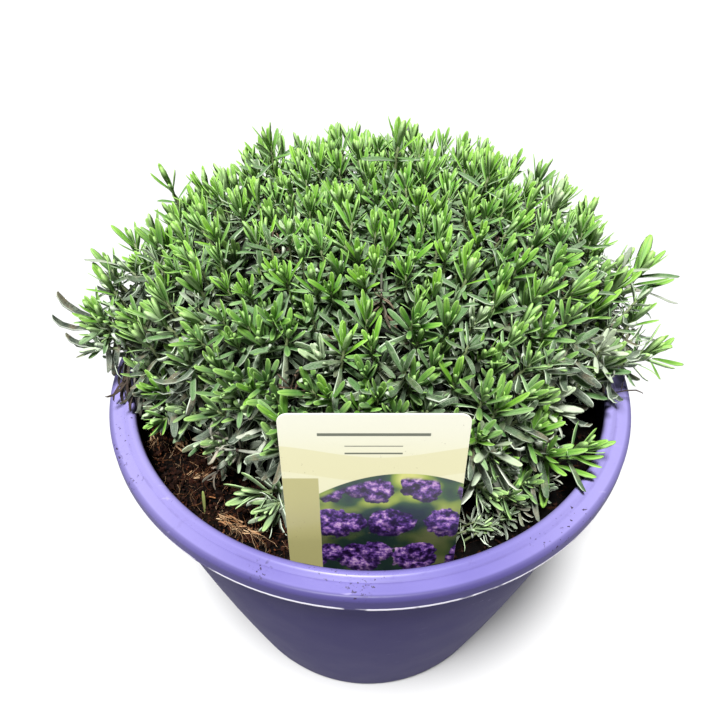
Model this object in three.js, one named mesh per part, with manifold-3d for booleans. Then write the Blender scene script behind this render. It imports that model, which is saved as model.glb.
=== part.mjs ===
// Potted lavender: a round plastic planter filled with potting soil, one bushy young lavender plant with its
// woody crown and leafy branches, and a plant label on a stake. The plant is not in flower.
// Millimetres, +Z up. The origin is the centre of the planter's flat base. The label stands at the front, -Y.

import * as THREE from "three";
import { mergeVertices } from "three/addons/utils/BufferGeometryUtils.js";
import Module from "manifold-3d";

const wasm = await Module();
wasm.setup();

// Planter
const POT_HEIGHT = 195;
const RIM_RADIUS = 135;
const LIP_RADIUS = 121.4; // inner edge of the rolled lip
const WALL_TOP_RADIUS = 127.4; // outside of the wall, under the rim
const BASE_RADIUS = 86.6;
const WALL_BULGE = 1.23; // exponent of the wall's taper: 1 is a straight cone
const WALL = 2.6;
const FLOOR = 3.2;
const SKIRT_DROP = 10.8; // from the rim's top to the skirt's lower edge
const SKIRT_THICKNESS = 1.9;
const POT_SIDES = 44;
const WALL_HEIGHTS = [0.32, 0.62, 0.88].map((share) => share * POT_HEIGHT);
const DRAIN_HOLES = 5;
const DRAIN_RADIUS = 4.5;
const DRAIN_RING_RADIUS = 56;

// Soil
const SOIL_LEVEL = 0.88 * POT_HEIGHT; // at the wall
const SOIL_MOUND = 9; // how far the soil rises towards the plant
const FIT = 0.35; // gap between pieces that touch

// Plant label
const LABEL_WIDTH = 70.5;
const LABEL_TOP = POT_HEIGHT + 73;
const LABEL_FOOT = POT_HEIGHT - 13; // where the card narrows to its stake
const STAKE_TIP = POT_HEIGHT - 58;
const STAKE_WIDTH = 16;
const LABEL_THICKNESS = 0.8;
const LABEL_CORNER = 4;
const LABEL_LEAN = THREE.MathUtils.degToRad(4.2);
const LABEL_Y_AT_RIM = -109;

// Foliage: the radius that the leaf tips reach, seen from the heart of the bush, by elevation in degrees
const HEART = new THREE.Vector3(5, 2, POT_HEIGHT + 8);
const CANOPY = [
  { elevation: -18, side: 92, front: 92 },
  { elevation: -8, side: 116, front: 102 },
  { elevation: 0, side: 134, front: 106 },
  { elevation: 10, side: 143, front: 112 },
  { elevation: 22, side: 142, front: 118 },
  { elevation: 35, side: 129, front: 118 },
  { elevation: 50, side: 114, front: 113 },
  { elevation: 65, side: 105, front: 105 },
  { elevation: 90, side: 101, front: 101 },
];
const LOWEST_SHOOT = -13;
const BRANCH_RINGS = [
  { elevation: 90, count: 1, offset: 0 },
  { elevation: 61, count: 5, offset: 0.25 },
  { elevation: 33, count: 8, offset: 0.75 },
  { elevation: 5, count: 12, offset: 0.5 },
];
const SHOOTS = 138;
// Shoots that stand out of the canopy: azimuth and elevation in degrees, and the radius of their tips
const SPRAYS = [
  { azimuth: 190, elevation: 14, radius: 158 },
  { azimuth: 194, elevation: 5, radius: 148 },
  { azimuth: -14, elevation: 15, radius: 149 },
  { azimuth: -17, elevation: 6, radius: 146 },
  { azimuth: -12, elevation: 35, radius: 142 },
  { azimuth: 170, elevation: 37, radius: 138 },
  { azimuth: 160, elevation: 63, radius: 124 },
  { azimuth: 78, elevation: 68, radius: 116 },
  { azimuth: 12, elevation: 48, radius: 126 },
];
const GOLDEN_ANGLE = Math.PI * (3 - Math.sqrt(5));
const LEAF_WIDTH = 4;
const WIDEST_AT = 0.6; // share of the leaf's length
const ARCH = 0.18; // how far a spreading leaf's tip drops, as a share of its length
const LEAF_TWIST = 0.05; // how far a leaf may turn from its even place round the tuft, in radians
const BENDS = [1, 0.8, 0.6]; // shares of its lean that a leaf may keep
const TUFT_LEAVES = 8;
const UPRIGHT = { lean: 25, length: 19 };
const SPREADING = { lean: 56, length: 21 };
const TUFT_HEIGHT = 17; // from its root to its tips
const TUFT_HUB = 2.8; // where neighbouring leaves part
const STEM_FOOT = 6; // how far from its core's centre a stem starts
const TIP_TO_CORE = 23; // from the leaf tips down to the bush's dense core
const CORE_SIDES = 7;
const CORE_BANDS = 4;
const CORE_ROUGHNESS = 0.2; // how far the core's corners are drawn in, as a share of its size
const CORE_GAP = 0.4; // half the gap between the cores of neighbouring branches
const LEAF_GAP = 0.3; // half the gap between the leaves of neighbouring branches
const NECK_DEPTH = 3.4; // from a tuft's centre down to its stem's top
const NECK_RADIUS = 0.8;
const STEM_RADIUS = 1.4;
const STEM_SIDES = 4;
const OVER_RIM = POT_HEIGHT + 5; // how low foliage may hang over the rim
const INSIDE_RIM_RADIUS = 112;
const DRAWN_IN = [0, 5, 10, 15, 20, 25]; // how far a tuft may be drawn in to clear the rim

// Woody crown
const TRUNK_RADIUS = 7;
const ROOT_RADIUS = 3.5;
const ROOT_TIP = POT_HEIGHT - 62;
const CROWN_TOP = SOIL_LEVEL + SOIL_MOUND + 8;
const BRANCH_RADIUS = 2.1;
const BRANCH_SHORT_OF_CENTRE = 2; // where a branch ends, below its core's centre

const PLASTIC = { color: 0x9c8ee0, roughness: 0.5, metalness: 0 };
const SOIL = { color: 0x3a2417, roughness: 1, metalness: 0 };
const BARK = { color: 0x5e4a39, roughness: 0.9, metalness: 0 };
const CARD = { color: 0xf1edd0, roughness: 0.35, metalness: 0 };
const LEAF_TOP = new THREE.Color(0x6fae45);
const LEAF_LOW = new THREE.Color(0x6d8a68);

const UP = new THREE.Vector3(0, 0, 1);
const WELD = 1e-3; // vertices nearer than this are one
const WELD_PASSES = 4;
const TURN = 2 * Math.PI;

// A repeatable number from 0 to 1 for draw k of item i.
function draw(i, k) {
  const s = Math.sin(i * 127.1 + k * 311.7 + 17.3) * 43758.5453;
  return s - Math.floor(s);
}

function smoothStep(x) {
  const t = THREE.MathUtils.clamp(x, 0, 1);
  return t * t * (3 - 2 * t);
}

// Solids and geometries

function solidOf(geometry) {
  const bare = new THREE.BufferGeometry();
  bare.setAttribute("position", geometry.getAttribute("position").clone());
  bare.setIndex(geometry.index);
  const merged = mergeVertices(bare, WELD);
  const kept = [];
  for (let i = 0; i < merged.index.count; i += 3) {
    const [a, b, c] = [0, 1, 2].map((k) => merged.index.getX(i + k));
    if (a !== b && b !== c && c !== a) kept.push(a, b, c);
  }
  const mesh = new wasm.Mesh({
    numProp: 3,
    vertProperties: merged.attributes.position.array,
    triVerts: new Uint32Array(kept),
  });
  return new wasm.Manifold(mesh);
}

// The triangles of a fused solid's largest shell: pockets sealed inside and loose scraps are left out.
function largestShell({ vertProperties, triVerts }) {
  const shell = Array.from({ length: vertProperties.length / 3 }, (_, i) => i);
  const shellOf = (v) => {
    while (shell[v] !== v) v = shell[v] = shell[shell[v]];
    return v;
  };
  for (let i = 0; i < triVerts.length; i += 3) {
    shell[shellOf(triVerts[i])] = shellOf(triVerts[i + 1]);
    shell[shellOf(triVerts[i + 2])] = shellOf(triVerts[i + 1]);
  }
  const volumes = new Map();
  const corner = (i) => new THREE.Vector3().fromArray(vertProperties, 3 * triVerts[i]);
  for (let i = 0; i < triVerts.length; i += 3) {
    const owner = shellOf(triVerts[i]);
    const volume = corner(i).dot(corner(i + 1).cross(corner(i + 2)));
    volumes.set(owner, (volumes.get(owner) ?? 0) + volume);
  }
  const [largest] = [...volumes.entries()].sort((a, b) => b[1] - a[1])[0];
  return triVerts.filter((_, i) => shellOf(triVerts[i - (i % 3)]) === largest);
}

function shellGeometry(solid) {
  const mesh = solid.getMesh();
  const geometry = new THREE.BufferGeometry();
  geometry.setAttribute("position", new THREE.BufferAttribute(mesh.vertProperties, 3));
  geometry.setIndex(new THREE.BufferAttribute(largestShell(mesh), 1));
  return mergeVertices(geometry.toNonIndexed(), WELD);
}

// Welding can pinch off a pocket or a scrap, so the shell is taken again from each welded body.
function geometryOf(solid) {
  let geometry = shellGeometry(solid);
  for (let pass = 0; pass < WELD_PASSES; pass++) geometry = shellGeometry(solidOf(geometry));
  geometry.computeVertexNormals();
  return geometry;
}

function latheGeometry(profile) {
  const outline = profile.map(([r, z]) => new THREE.Vector2(r, z));
  const turned = new THREE.LatheGeometry(outline, POT_SIDES);
  turned.rotateX(Math.PI / 2); // the lathe's axis is Y
  return turned;
}

// Planter

function wallRadius(z) {
  const wallTop = POT_HEIGHT - SKIRT_DROP + 2;
  const share = THREE.MathUtils.clamp((wallTop - z) / wallTop, 0, 1);
  return WALL_TOP_RADIUS + (BASE_RADIUS - WALL_TOP_RADIUS) * share ** WALL_BULGE;
}

function potSolid() {
  const top = POT_HEIGHT;
  const skirt = top - SKIRT_DROP;
  const outside = WALL_HEIGHTS.map((z) => [wallRadius(z), z]);
  const inside = outside.toReversed().map(([r, z]) => [r - WALL, z]);
  const profile = [
    [0, 0],
    [BASE_RADIUS - 1.8, 0],
    [BASE_RADIUS, 1.8],
    ...outside,
    [WALL_TOP_RADIUS, skirt + 1],
    [WALL_TOP_RADIUS, top - 3.8],
    [RIM_RADIUS - SKIRT_THICKNESS, top - 3.8],
    [RIM_RADIUS - SKIRT_THICKNESS, skirt],
    [RIM_RADIUS, skirt],
    [RIM_RADIUS, top - 3.6],
    [RIM_RADIUS - 1.6, top - 1.8],
    [RIM_RADIUS - 7.6, top - 1],
    [LIP_RADIUS + 2.6, top],
    [LIP_RADIUS, top - 1.8],
    [LIP_RADIUS + 1, top - 7],
    ...inside,
    [BASE_RADIUS - WALL, FLOOR],
    [0, FLOOR],
  ];
  let pot = solidOf(latheGeometry(profile));
  for (let i = 0; i < DRAIN_HOLES; i++) {
    const angle = (i / DRAIN_HOLES) * TURN;
    const drain = new THREE.CylinderGeometry(DRAIN_RADIUS, DRAIN_RADIUS, 4 * FLOOR, 6);
    drain.rotateX(Math.PI / 2);
    drain.translate(DRAIN_RING_RADIUS * Math.cos(angle), DRAIN_RING_RADIUS * Math.sin(angle), FLOOR / 2);
    pot = pot.subtract(solidOf(drain));
  }
  return pot;
}

// Soil

function soilHeight(x, y) {
  const share = Math.min(Math.hypot(x, y) / LIP_RADIUS, 1);
  const lumps = 1.6 * Math.sin(x * 0.11 + 1.3) * Math.cos(y * 0.13) + Math.sin(x * 0.23 - y * 0.19);
  return SOIL_LEVEL + SOIL_MOUND * (1 - share * share) + lumps * (1 - share ** 6);
}

function soilSolid(cuts) {
  const topRadii = [100, 70, 38];
  const profile = [
    [0, FLOOR + FIT],
    [BASE_RADIUS - WALL - FIT, FLOOR + FIT],
    ...WALL_HEIGHTS.map((z) => [wallRadius(z) - WALL - FIT, z]),
    ...topRadii.map((r) => [r, SOIL_LEVEL + 1]),
    [0, SOIL_LEVEL + 1],
  ];
  const body = latheGeometry(profile);
  const position = body.getAttribute("position");
  for (let i = 0; i < position.count; i++) {
    if (position.getZ(i) > SOIL_LEVEL + 0.5) position.setZ(i, soilHeight(position.getX(i), position.getY(i)));
  }
  return cuts.reduce((soil, cut) => soil.subtract(cut), solidOf(body));
}

// Plant label

// The label's face at height z: its Y.
function labelY(z) {
  return LABEL_Y_AT_RIM + (z - POT_HEIGHT) * Math.tan(LABEL_LEAN);
}

function labelSolid(grow) {
  const half = LABEL_WIDTH / 2 + grow;
  const stake = STAKE_WIDTH / 2 + grow;
  const top = LABEL_TOP - POT_HEIGHT;
  const foot = LABEL_FOOT - POT_HEIGHT;
  const tip = STAKE_TIP - POT_HEIGHT - grow;
  const outline = new THREE.Shape();
  outline.moveTo(half, foot);
  outline.lineTo(half, top - LABEL_CORNER);
  outline.absarc(half - LABEL_CORNER, top - LABEL_CORNER, LABEL_CORNER, 0, Math.PI / 2, false);
  outline.absarc(LABEL_CORNER - half, top - LABEL_CORNER, LABEL_CORNER, Math.PI / 2, Math.PI, false);
  outline.lineTo(-half, foot);
  outline.lineTo(-stake, foot - 9);
  outline.lineTo(-stake * 0.7, tip + 12);
  outline.lineTo(0, tip);
  outline.lineTo(stake * 0.7, tip + 12);
  outline.lineTo(stake, foot - 9);
  const thickness = LABEL_THICKNESS + 2 * grow;
  const card = new THREE.ExtrudeGeometry(outline, {
    depth: thickness,
    bevelEnabled: false,
    curveSegments: 4,
  });
  card.translate(0, 0, -thickness / 2);
  card.rotateX(Math.PI / 2 - LABEL_LEAN);
  card.translate(0, LABEL_Y_AT_RIM, POT_HEIGHT);
  return solidOf(card);
}

// Foliage

function canopyRadius(azimuth, elevation) {
  const above = CANOPY.findIndex((row) => row.elevation >= elevation);
  const high = CANOPY[Math.max(above, 1)];
  const low = CANOPY[Math.max(above, 1) - 1];
  const t = THREE.MathUtils.clamp((elevation - low.elevation) / (high.elevation - low.elevation), 0, 1);
  const side = THREE.MathUtils.lerp(low.side, high.side, t);
  const front = THREE.MathUtils.lerp(low.front, high.front, t);
  return THREE.MathUtils.lerp(side, front, smoothStep((-Math.sin(azimuth) - 0.05) / 0.6));
}

function direction(azimuth, elevation) {
  const e = THREE.MathUtils.degToRad(elevation);
  return new THREE.Vector3(
    Math.cos(e) * Math.cos(azimuth),
    Math.cos(e) * Math.sin(azimuth),
    Math.sin(e),
  );
}

// The canopy's radius towards a point, and the point's own distance from the heart.
function reach(point) {
  const offset = point.clone().sub(HEART);
  const distance = offset.length();
  const elevation = THREE.MathUtils.radToDeg(Math.asin(offset.z / distance));
  return { distance, canopy: canopyRadius(Math.atan2(offset.y, offset.x), elevation) };
}

function branchAxes() {
  const axes = [];
  BRANCH_RINGS.forEach(({ elevation, count, offset }) => {
    for (let i = 0; i < count; i++) axes.push(direction(((i + offset) / count) * TURN, elevation));
  });
  return axes;
}

const AXES = branchAxes();

// Elevations spread so that the shoots are even over the canopy's surface.
function elevationAt(share) {
  const step = 1;
  const areas = [];
  let total = 0;
  for (let e = LOWEST_SHOOT; e < 90; e += step) {
    total += canopyRadius(Math.PI / 2, e) ** 2 * Math.cos(THREE.MathUtils.degToRad(e));
    areas.push(total);
  }
  const index = areas.findIndex((area) => area >= share * total);
  return LOWEST_SHOOT + (index + 0.5) * step;
}

// Each branch keeps to the cone of space nearest its own axis.
function pushIntoCell(point, branch, gap) {
  for (let pass = 0; pass < 3; pass++) {
    AXES.forEach((axis, other) => {
      if (other === branch) return;
      const normal = AXES[branch].clone().sub(axis).normalize();
      const inside = normal.dot(point.clone().sub(HEART));
      if (inside < gap) point.addScaledVector(normal, gap - inside);
    });
  }
  return point;
}

function inCell(point, branch, gap) {
  return AXES.every((axis, other) => {
    if (other === branch) return true;
    const normal = AXES[branch].clone().sub(axis).normalize();
    return normal.dot(point.clone().sub(HEART)) >= gap;
  });
}

// Foliage stays off the soil, the planter's rim and the label.
function clearOfHolder(point, gap) {
  const radius = Math.hypot(point.x, point.y);
  const floor = radius > INSIDE_RIM_RADIUS ? OVER_RIM : soilHeight(point.x, point.y) + 2.5;
  const behindLabel =
    Math.abs(point.x) > LABEL_WIDTH / 2 + gap + 1 ||
    point.z > LABEL_TOP + gap + 1 ||
    point.y > labelY(point.z) + gap + 1;
  return point.z > floor + gap && behindLabel;
}

function coreCentre(branch) {
  const { canopy } = reach(HEART.clone().addScaledVector(AXES[branch], 50));
  return HEART.clone().addScaledVector(AXES[branch], (canopy - TIP_TO_CORE) * 0.74);
}

// The dense middle of one branch: a faceted lump that fills its cone as far as the leaves' roots.
function coreSolid(branch) {
  const axis = AXES[branch];
  const centre = coreCentre(branch);
  const lump = new THREE.SphereGeometry(1, CORE_SIDES, CORE_BANDS);
  lump.applyQuaternion(new THREE.Quaternion().setFromUnitVectors(new THREE.Vector3(0, 1, 0), axis));
  const bare = mergeVertices(lump.deleteAttribute("normal").deleteAttribute("uv"), WELD);
  const position = bare.getAttribute("position");
  for (let i = 0; i < position.count; i++) {
    const ray = new THREE.Vector3().fromBufferAttribute(position, i).normalize();
    let length = 1;
    const point = new THREE.Vector3();
    for (let step = 1; step < 90; step += 0.5) {
      point.copy(centre).addScaledVector(ray, step);
      const { distance, canopy: tips } = reach(point);
      const deep = distance > 0.42 * tips && distance < tips - TIP_TO_CORE;
      if (!deep || !inCell(point, branch, CORE_GAP) || !clearOfHolder(point, 0.5)) break;
      length = step;
    }
    point.copy(centre).addScaledVector(ray, length * (1 - CORE_ROUGHNESS * draw(branch, i)));
    position.setXYZ(i, point.x, point.y, point.z);
  }
  return solidOf(bare);
}

// One leaf's outline: its left edge, tip and right edge. It stays in its own sector of the tuft, so a
// steep leaf is narrower.
function leafOutline(root, heading, out, lean, length) {
  const along = heading.clone().multiplyScalar(Math.cos(lean)).addScaledVector(out, Math.sin(lean));
  const sector = Math.PI / TUFT_LEAVES - LEAF_TWIST;
  const halfWidth = Math.min(LEAF_WIDTH / 2, WIDEST_AT * length * Math.sin(lean) * Math.tan(sector));
  const across = heading.clone().cross(out).multiplyScalar(halfWidth);
  const widest = root.clone().addScaledVector(along, WIDEST_AT * length);
  const tip = root.clone().addScaledVector(along, length);
  tip.addScaledVector(heading, -ARCH * length * Math.sin(lean));
  return [widest.clone().sub(across), tip, widest.add(across)];
}

// A tuft: a star of leaves on a square stem. Upright leaves alternate with spreading ones. A leaf that
// would reach into a neighbouring branch, the rim, the soil or the label is bent upright until it is clear.
function tuftSolid(shoot, branch, root, heading) {
  const middle = coreCentre(branch);
  const aside = Math.abs(heading.z) > 0.95 ? new THREE.Vector3(0, 1, 0) : UP;
  const first = heading.clone().cross(aside).normalize();
  const second = heading.clone().cross(first).normalize();
  const outAt = (angle) =>
    first.clone().multiplyScalar(Math.cos(angle)).addScaledVector(second, Math.sin(angle));
  const spin = draw(shoot, 1) * TURN;
  const star = [];
  for (let k = 0; k < TUFT_LEAVES; k++) {
    const angle = spin + (k / TUFT_LEAVES) * TURN;
    const corner = Math.floor((k / TUFT_LEAVES) * STEM_SIDES);
    const notch = root.clone().addScaledVector(outAt(angle - Math.PI / TUFT_LEAVES), TUFT_HUB);
    star.push({ point: notch.addScaledVector(heading, 1), corner });
    const whorl = k % 2 === 0 ? SPREADING : UPRIGHT;
    const out = outAt(angle + 2 * LEAF_TWIST * (draw(shoot, 10 + k) - 0.5));
    const lean = THREE.MathUtils.degToRad(whorl.lean + 14 * (draw(shoot, 30 + k) - 0.5));
    const length = whorl.length * (0.88 + 0.24 * draw(shoot, 50 + k));
    const outlines = BENDS.map((bend) => leafOutline(root, heading, out, bend * lean, length));
    const clear = outlines.find((outline) =>
      outline.every((point) => inCell(point, branch, LEAF_GAP) && clearOfHolder(point, LEAF_GAP)),
    );
    if (clear) star.push(...clear.map((point) => ({ point, corner })));
  }
  const stemRing = (centre, radius) =>
    Array.from({ length: STEM_SIDES }, (_, j) =>
      centre.clone().addScaledVector(outAt(spin + ((j + 0.25) / STEM_SIDES) * TURN), radius),
    );
  const neck = root.clone().addScaledVector(heading, -NECK_DEPTH);
  const foot = middle.clone().add(neck.clone().sub(middle).setLength(STEM_FOOT));
  return solidOf(starGeometry(root, star, stemRing(neck, NECK_RADIUS), stemRing(foot, STEM_RADIUS)));
}

// The star's upper faces meet at its centre, its lower ones at the corners of the stem's top.
function starGeometry(centre, star, stemTop, stemFoot) {
  const points = [centre, ...star.map(({ point }) => point), ...stemTop, ...stemFoot];
  const rim = (i) => 1 + (i % star.length);
  const top = (j) => 1 + star.length + (j % STEM_SIDES);
  const foot = (j) => top(j) + STEM_SIDES;
  const index = [];
  star.forEach(({ corner }, i) => {
    index.push(0, rim(i), rim(i + 1));
    index.push(top(corner), rim(i + 1), rim(i));
    const next = star[(i + 1) % star.length].corner;
    if (next !== corner) index.push(top(corner), top(next), rim(i + 1));
  });
  for (let j = 0; j < STEM_SIDES; j++) {
    index.push(top(j + 1), top(j), foot(j));
    index.push(top(j + 1), foot(j), foot(j + 1));
  }
  for (let j = 1; j + 1 < STEM_SIDES; j++) index.push(foot(0), foot(j + 1), foot(j));
  const geometry = new THREE.BufferGeometry();
  geometry.setAttribute("position", new THREE.Float32BufferAttribute(points.flatMap((p) => p.toArray()), 3));
  geometry.setIndex(index);
  return geometry;
}

function nearestAxis(towards) {
  let best = 0;
  AXES.forEach((axis, i) => {
    if (axis.dot(towards) > AXES[best].dot(towards)) best = i;
  });
  return best;
}

// A tuft points out of the bush, away from its branch's middle, and a little upwards.
function headingOf(root, towards, branch) {
  const away = root.clone().sub(coreCentre(branch)).normalize();
  return away.multiplyScalar(0.6).addScaledVector(towards, 0.5).addScaledVector(UP, 0.3).normalize();
}

// A tuft's root towards a direction, drawn in from the rim and the soil where it would touch them.
function clearRoot(towards, radius) {
  const roots = DRAWN_IN.map((step) => HEART.clone().addScaledVector(towards, radius - step));
  return roots.find((root) => clearOfHolder(root, TUFT_HUB + 1));
}

// Every shoot's tuft, in a list for each branch.
function tuftsByBranch() {
  const lists = AXES.map(() => []);
  for (let shoot = 0; shoot < SHOOTS; shoot++) {
    const azimuth = shoot * GOLDEN_ANGLE;
    const elevation = elevationAt((shoot + 0.5) / SHOOTS);
    const towards = direction(azimuth, elevation);
    const branch = nearestAxis(towards);
    const root = clearRoot(towards, canopyRadius(azimuth, elevation) - TUFT_HEIGHT);
    if (root === undefined) continue;
    pushIntoCell(root, branch, TUFT_HUB + LEAF_GAP);
    lists[branch].push(tuftSolid(shoot, branch, root, headingOf(root, towards, branch)));
  }
  SPRAYS.forEach(({ azimuth, elevation, radius }, i) => {
    const turned = THREE.MathUtils.degToRad(azimuth);
    const towards = direction(turned, elevation);
    const branch = nearestAxis(towards);
    const root = HEART.clone().addScaledVector(towards, radius - TUFT_HEIGHT);
    pushIntoCell(root, branch, TUFT_HUB + LEAF_GAP);
    lists[branch].push(tuftSolid(SHOOTS + i, branch, root, towards));
  });
  return lists;
}

// Woody crown: a short trunk in the soil and one bare branch to the middle of each leafy core. Grown by the
// fit, the same shapes cut their holes in the soil and the cores.
function branchSolid(centre, towards, grow) {
  const start = new THREE.Vector3(HEART.x, HEART.y, CROWN_TOP - 4);
  const end = centre.clone().addScaledVector(towards, grow - BRANCH_SHORT_OF_CENTRE);
  const knee = start.clone().lerp(end, 0.45);
  knee.z += 6;
  const path = new THREE.QuadraticBezierCurve3(start, knee, end);
  const section = new THREE.Shape();
  for (let k = 0; k < 4; k++) {
    const angle = (k / 4) * TURN;
    section[k === 0 ? "moveTo" : "lineTo"](
      (BRANCH_RADIUS + grow) * Math.cos(angle),
      (BRANCH_RADIUS + grow) * Math.sin(angle),
    );
  }
  return solidOf(new THREE.ExtrudeGeometry(section, { steps: 2, bevelEnabled: false, extrudePath: path }));
}

function trunkSolid(grow) {
  const bottom = ROOT_TIP - grow;
  const trunk = new THREE.CylinderGeometry(TRUNK_RADIUS + grow, ROOT_RADIUS + grow, CROWN_TOP - bottom, 7);
  trunk.rotateX(Math.PI / 2);
  trunk.translate(HEART.x, HEART.y, (CROWN_TOP + bottom) / 2);
  return solidOf(trunk);
}

// The object

const plant = new THREE.Group();

function place(name, solid, look) {
  const mesh = new THREE.Mesh(geometryOf(solid), new THREE.MeshStandardMaterial(look));
  mesh.name = name;
  plant.add(mesh);
}

function placeFoliage() {
  const tufts = tuftsByBranch();
  let crown = trunkSolid(0);
  AXES.forEach((axis, branch) => {
    const centre = coreCentre(branch);
    const leafy = tufts[branch].reduce((body, tuft) => body.add(tuft), coreSolid(branch));
    const number = String(branch + 1).padStart(2, "0");
    const color = LEAF_LOW.clone().lerp(LEAF_TOP, smoothStep(axis.z));
    const socket = branchSolid(centre, axis, FIT);
    place(`leafy_branch_${number}`, leafy.subtract(socket), { color, roughness: 0.6, metalness: 0 });
    crown = crown.add(branchSolid(centre, axis, 0));
  });
  place("woody_crown", crown, BARK);
}

place("pot", potSolid(), PLASTIC);
placeFoliage();
place("potting_soil", soilSolid([trunkSolid(FIT), labelSolid(FIT)]), SOIL);
place("plant_label", labelSolid(0), CARD);

export default plant;
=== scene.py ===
"""A bushy lavender in a round planter: the camera, lights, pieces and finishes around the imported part."""

import math
import random

import bmesh
import bpy
import numpy as np
from mathutils import Euler, Matrix, Vector


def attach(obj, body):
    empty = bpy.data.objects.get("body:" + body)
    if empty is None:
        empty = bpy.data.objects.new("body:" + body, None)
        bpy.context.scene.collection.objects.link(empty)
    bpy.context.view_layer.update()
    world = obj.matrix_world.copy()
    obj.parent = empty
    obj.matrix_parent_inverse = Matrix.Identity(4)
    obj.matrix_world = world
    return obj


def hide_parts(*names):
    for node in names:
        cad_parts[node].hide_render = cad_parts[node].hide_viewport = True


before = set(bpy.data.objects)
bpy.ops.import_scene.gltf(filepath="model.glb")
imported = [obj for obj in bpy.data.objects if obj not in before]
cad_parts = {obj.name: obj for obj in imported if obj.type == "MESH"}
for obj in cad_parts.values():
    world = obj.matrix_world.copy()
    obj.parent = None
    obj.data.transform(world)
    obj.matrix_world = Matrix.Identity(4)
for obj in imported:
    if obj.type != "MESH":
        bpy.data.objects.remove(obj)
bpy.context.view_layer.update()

MM = 0.001
TURN = 2 * math.pi
UP = Vector((0, 0, 1))

# Planter, in millimetres
POT_HEIGHT = 195
LIP_RADIUS = 121.4
RIM_RADIUS = 135
WALL_TOP_RADIUS = 127.4
BASE_RADIUS = 86.6
WALL_BULGE = 1.23
WALL = 2.6
FLOOR = 3.2
SKIRT_DROP = 10.8
POT_SIDES = 144
DRAIN_HOLES = 5
DRAIN_RADIUS = 4.5
DRAIN_RING_RADIUS = 56

# Soil
SOIL_LEVEL = 0.88 * POT_HEIGHT
SOIL_MOUND = 9
SOIL_SIDES = 288
SOIL_GAP = 0.35

# Label
LABEL_WIDTH = 70.5
LABEL_TOP = POT_HEIGHT + 73
LABEL_FOOT = POT_HEIGHT - 13
STAKE_WIDTH = 16
LABEL_THICKNESS = 0.8
LABEL_CORNER = 4
LABEL_LEAN = math.radians(4.2)
LABEL_Y_AT_RIM = -109

# Bush: how far its leaf tips reach from its heart, at the sides and at the front, by elevation in degrees
HEART = Vector((5, 2, POT_HEIGHT + 8))
CANOPY = (
    (-18, 92, 92),
    (-8, 116, 102),
    (0, 134, 106),
    (10, 141, 112),
    (22, 137, 118),
    (35, 126, 117),
    (50, 110, 111),
    (65, 100, 103),
    (90, 97, 99),
)
LOWEST_SHOOT = -13
# Rings of branches: elevation, how many, and where between two of them the first one stands
BRANCH_RINGS = ((90, 1, 0), (61, 5, 0.25), (33, 8, 0.75), (5, 12, 0.5))
GOLDEN_ANGLE = math.pi * (3 - math.sqrt(5))
SHOOTS = 500
UNDERSHOOTS = 290

# Camera: its place in metres, and how far it is tilted up from straight down
CAMERA_PLACE = (-0.0051, -0.2788, 0.4567)
CAMERA_TILT = math.radians(47.1)

# Lamps: elevation, azimuth, power and spread, with the angles in degrees
LAMPS = {"sky_glow": (72, -104, 9.0, 14), "side_glow": (50, 140, 0.25, 60)}
ROOM_LIGHT = 0.05
FLOOR_SIZE = 8

draw = random.Random(4207)


# Small helpers


def paint(red, green, blue, share=0.5):
    """A base colour that looks about like these screen values, 0 to 255, in this light.
    share makes up for the strong sun: 0.5 for what lies flat under it, more for what stands upright in it."""
    return tuple(share * ((c / 255 + 0.055) / 1.055) ** 2.4 for c in (red, green, blue)) + (1,)


def clamped(value):
    return min(max(value, 0), 1)


def deselect_all():
    if bpy.context.object and bpy.context.object.mode != "OBJECT":
        bpy.ops.object.mode_set(mode="OBJECT")
    bpy.ops.object.select_all(action="DESELECT")


def make_active(piece):
    deselect_all()
    piece.select_set(True)
    bpy.context.view_layer.objects.active = piece


def begin(name):
    """Names the primitive that was just added, puts its place in its mesh and opens it for editing."""
    piece = bpy.context.object
    piece.name = piece.data.name = name
    bpy.ops.object.transform_apply(location=True, rotation=True, scale=True)
    bpy.ops.object.mode_set(mode="EDIT")
    bpy.ops.mesh.select_all(action="SELECT")
    return piece


def disc(name, sides, radius, **place):
    """Begins a piece as a flat disc, with its radius in millimetres."""
    bpy.ops.mesh.primitive_circle_add(vertices=sides, radius=radius * MM, fill_type="NGON", **place)
    return begin(name)


def done():
    bpy.ops.object.mode_set(mode="OBJECT")
    return bpy.context.object


def pick(test, kind="verts"):
    """In edit mode, selects only the vertices, edges or faces whose middle passes the test."""
    mesh = bmesh.from_edit_mesh(bpy.context.edit_object.data)
    bpy.context.tool_settings.mesh_select_mode = [kind == k for k in ("verts", "edges", "faces")]
    bpy.ops.mesh.select_all(action="DESELECT")
    for item in getattr(mesh, kind):
        middle = item.co if kind == "verts" else sum((v.co for v in item.verts), Vector()) / len(item.verts)
        if test(middle):
            item.select_set(True)
    mesh.select_flush_mode()
    bmesh.update_edit_mesh(bpy.context.edit_object.data)


def pull(x, y, z):
    """Extrudes what is selected by that much."""
    bpy.ops.mesh.extrude_region_move(TRANSFORM_OT_translate={"value": (x, y, z)})


def turn(angle, axis, centre):
    """Turns what is selected, counter-clockwise seen against the axis."""
    bpy.ops.transform.rotate(value=-angle, orient_axis=axis, orient_type="GLOBAL", center_override=centre)


def face_outwards():
    bpy.ops.mesh.select_all(action="SELECT")
    bpy.ops.mesh.normals_make_consistent(inside=False)


def close_up():
    """Merges points that lie on each other, then turns the faces outwards."""
    bpy.ops.mesh.select_all(action="SELECT")
    bpy.ops.mesh.remove_doubles(threshold=1e-6)
    face_outwards()


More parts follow.
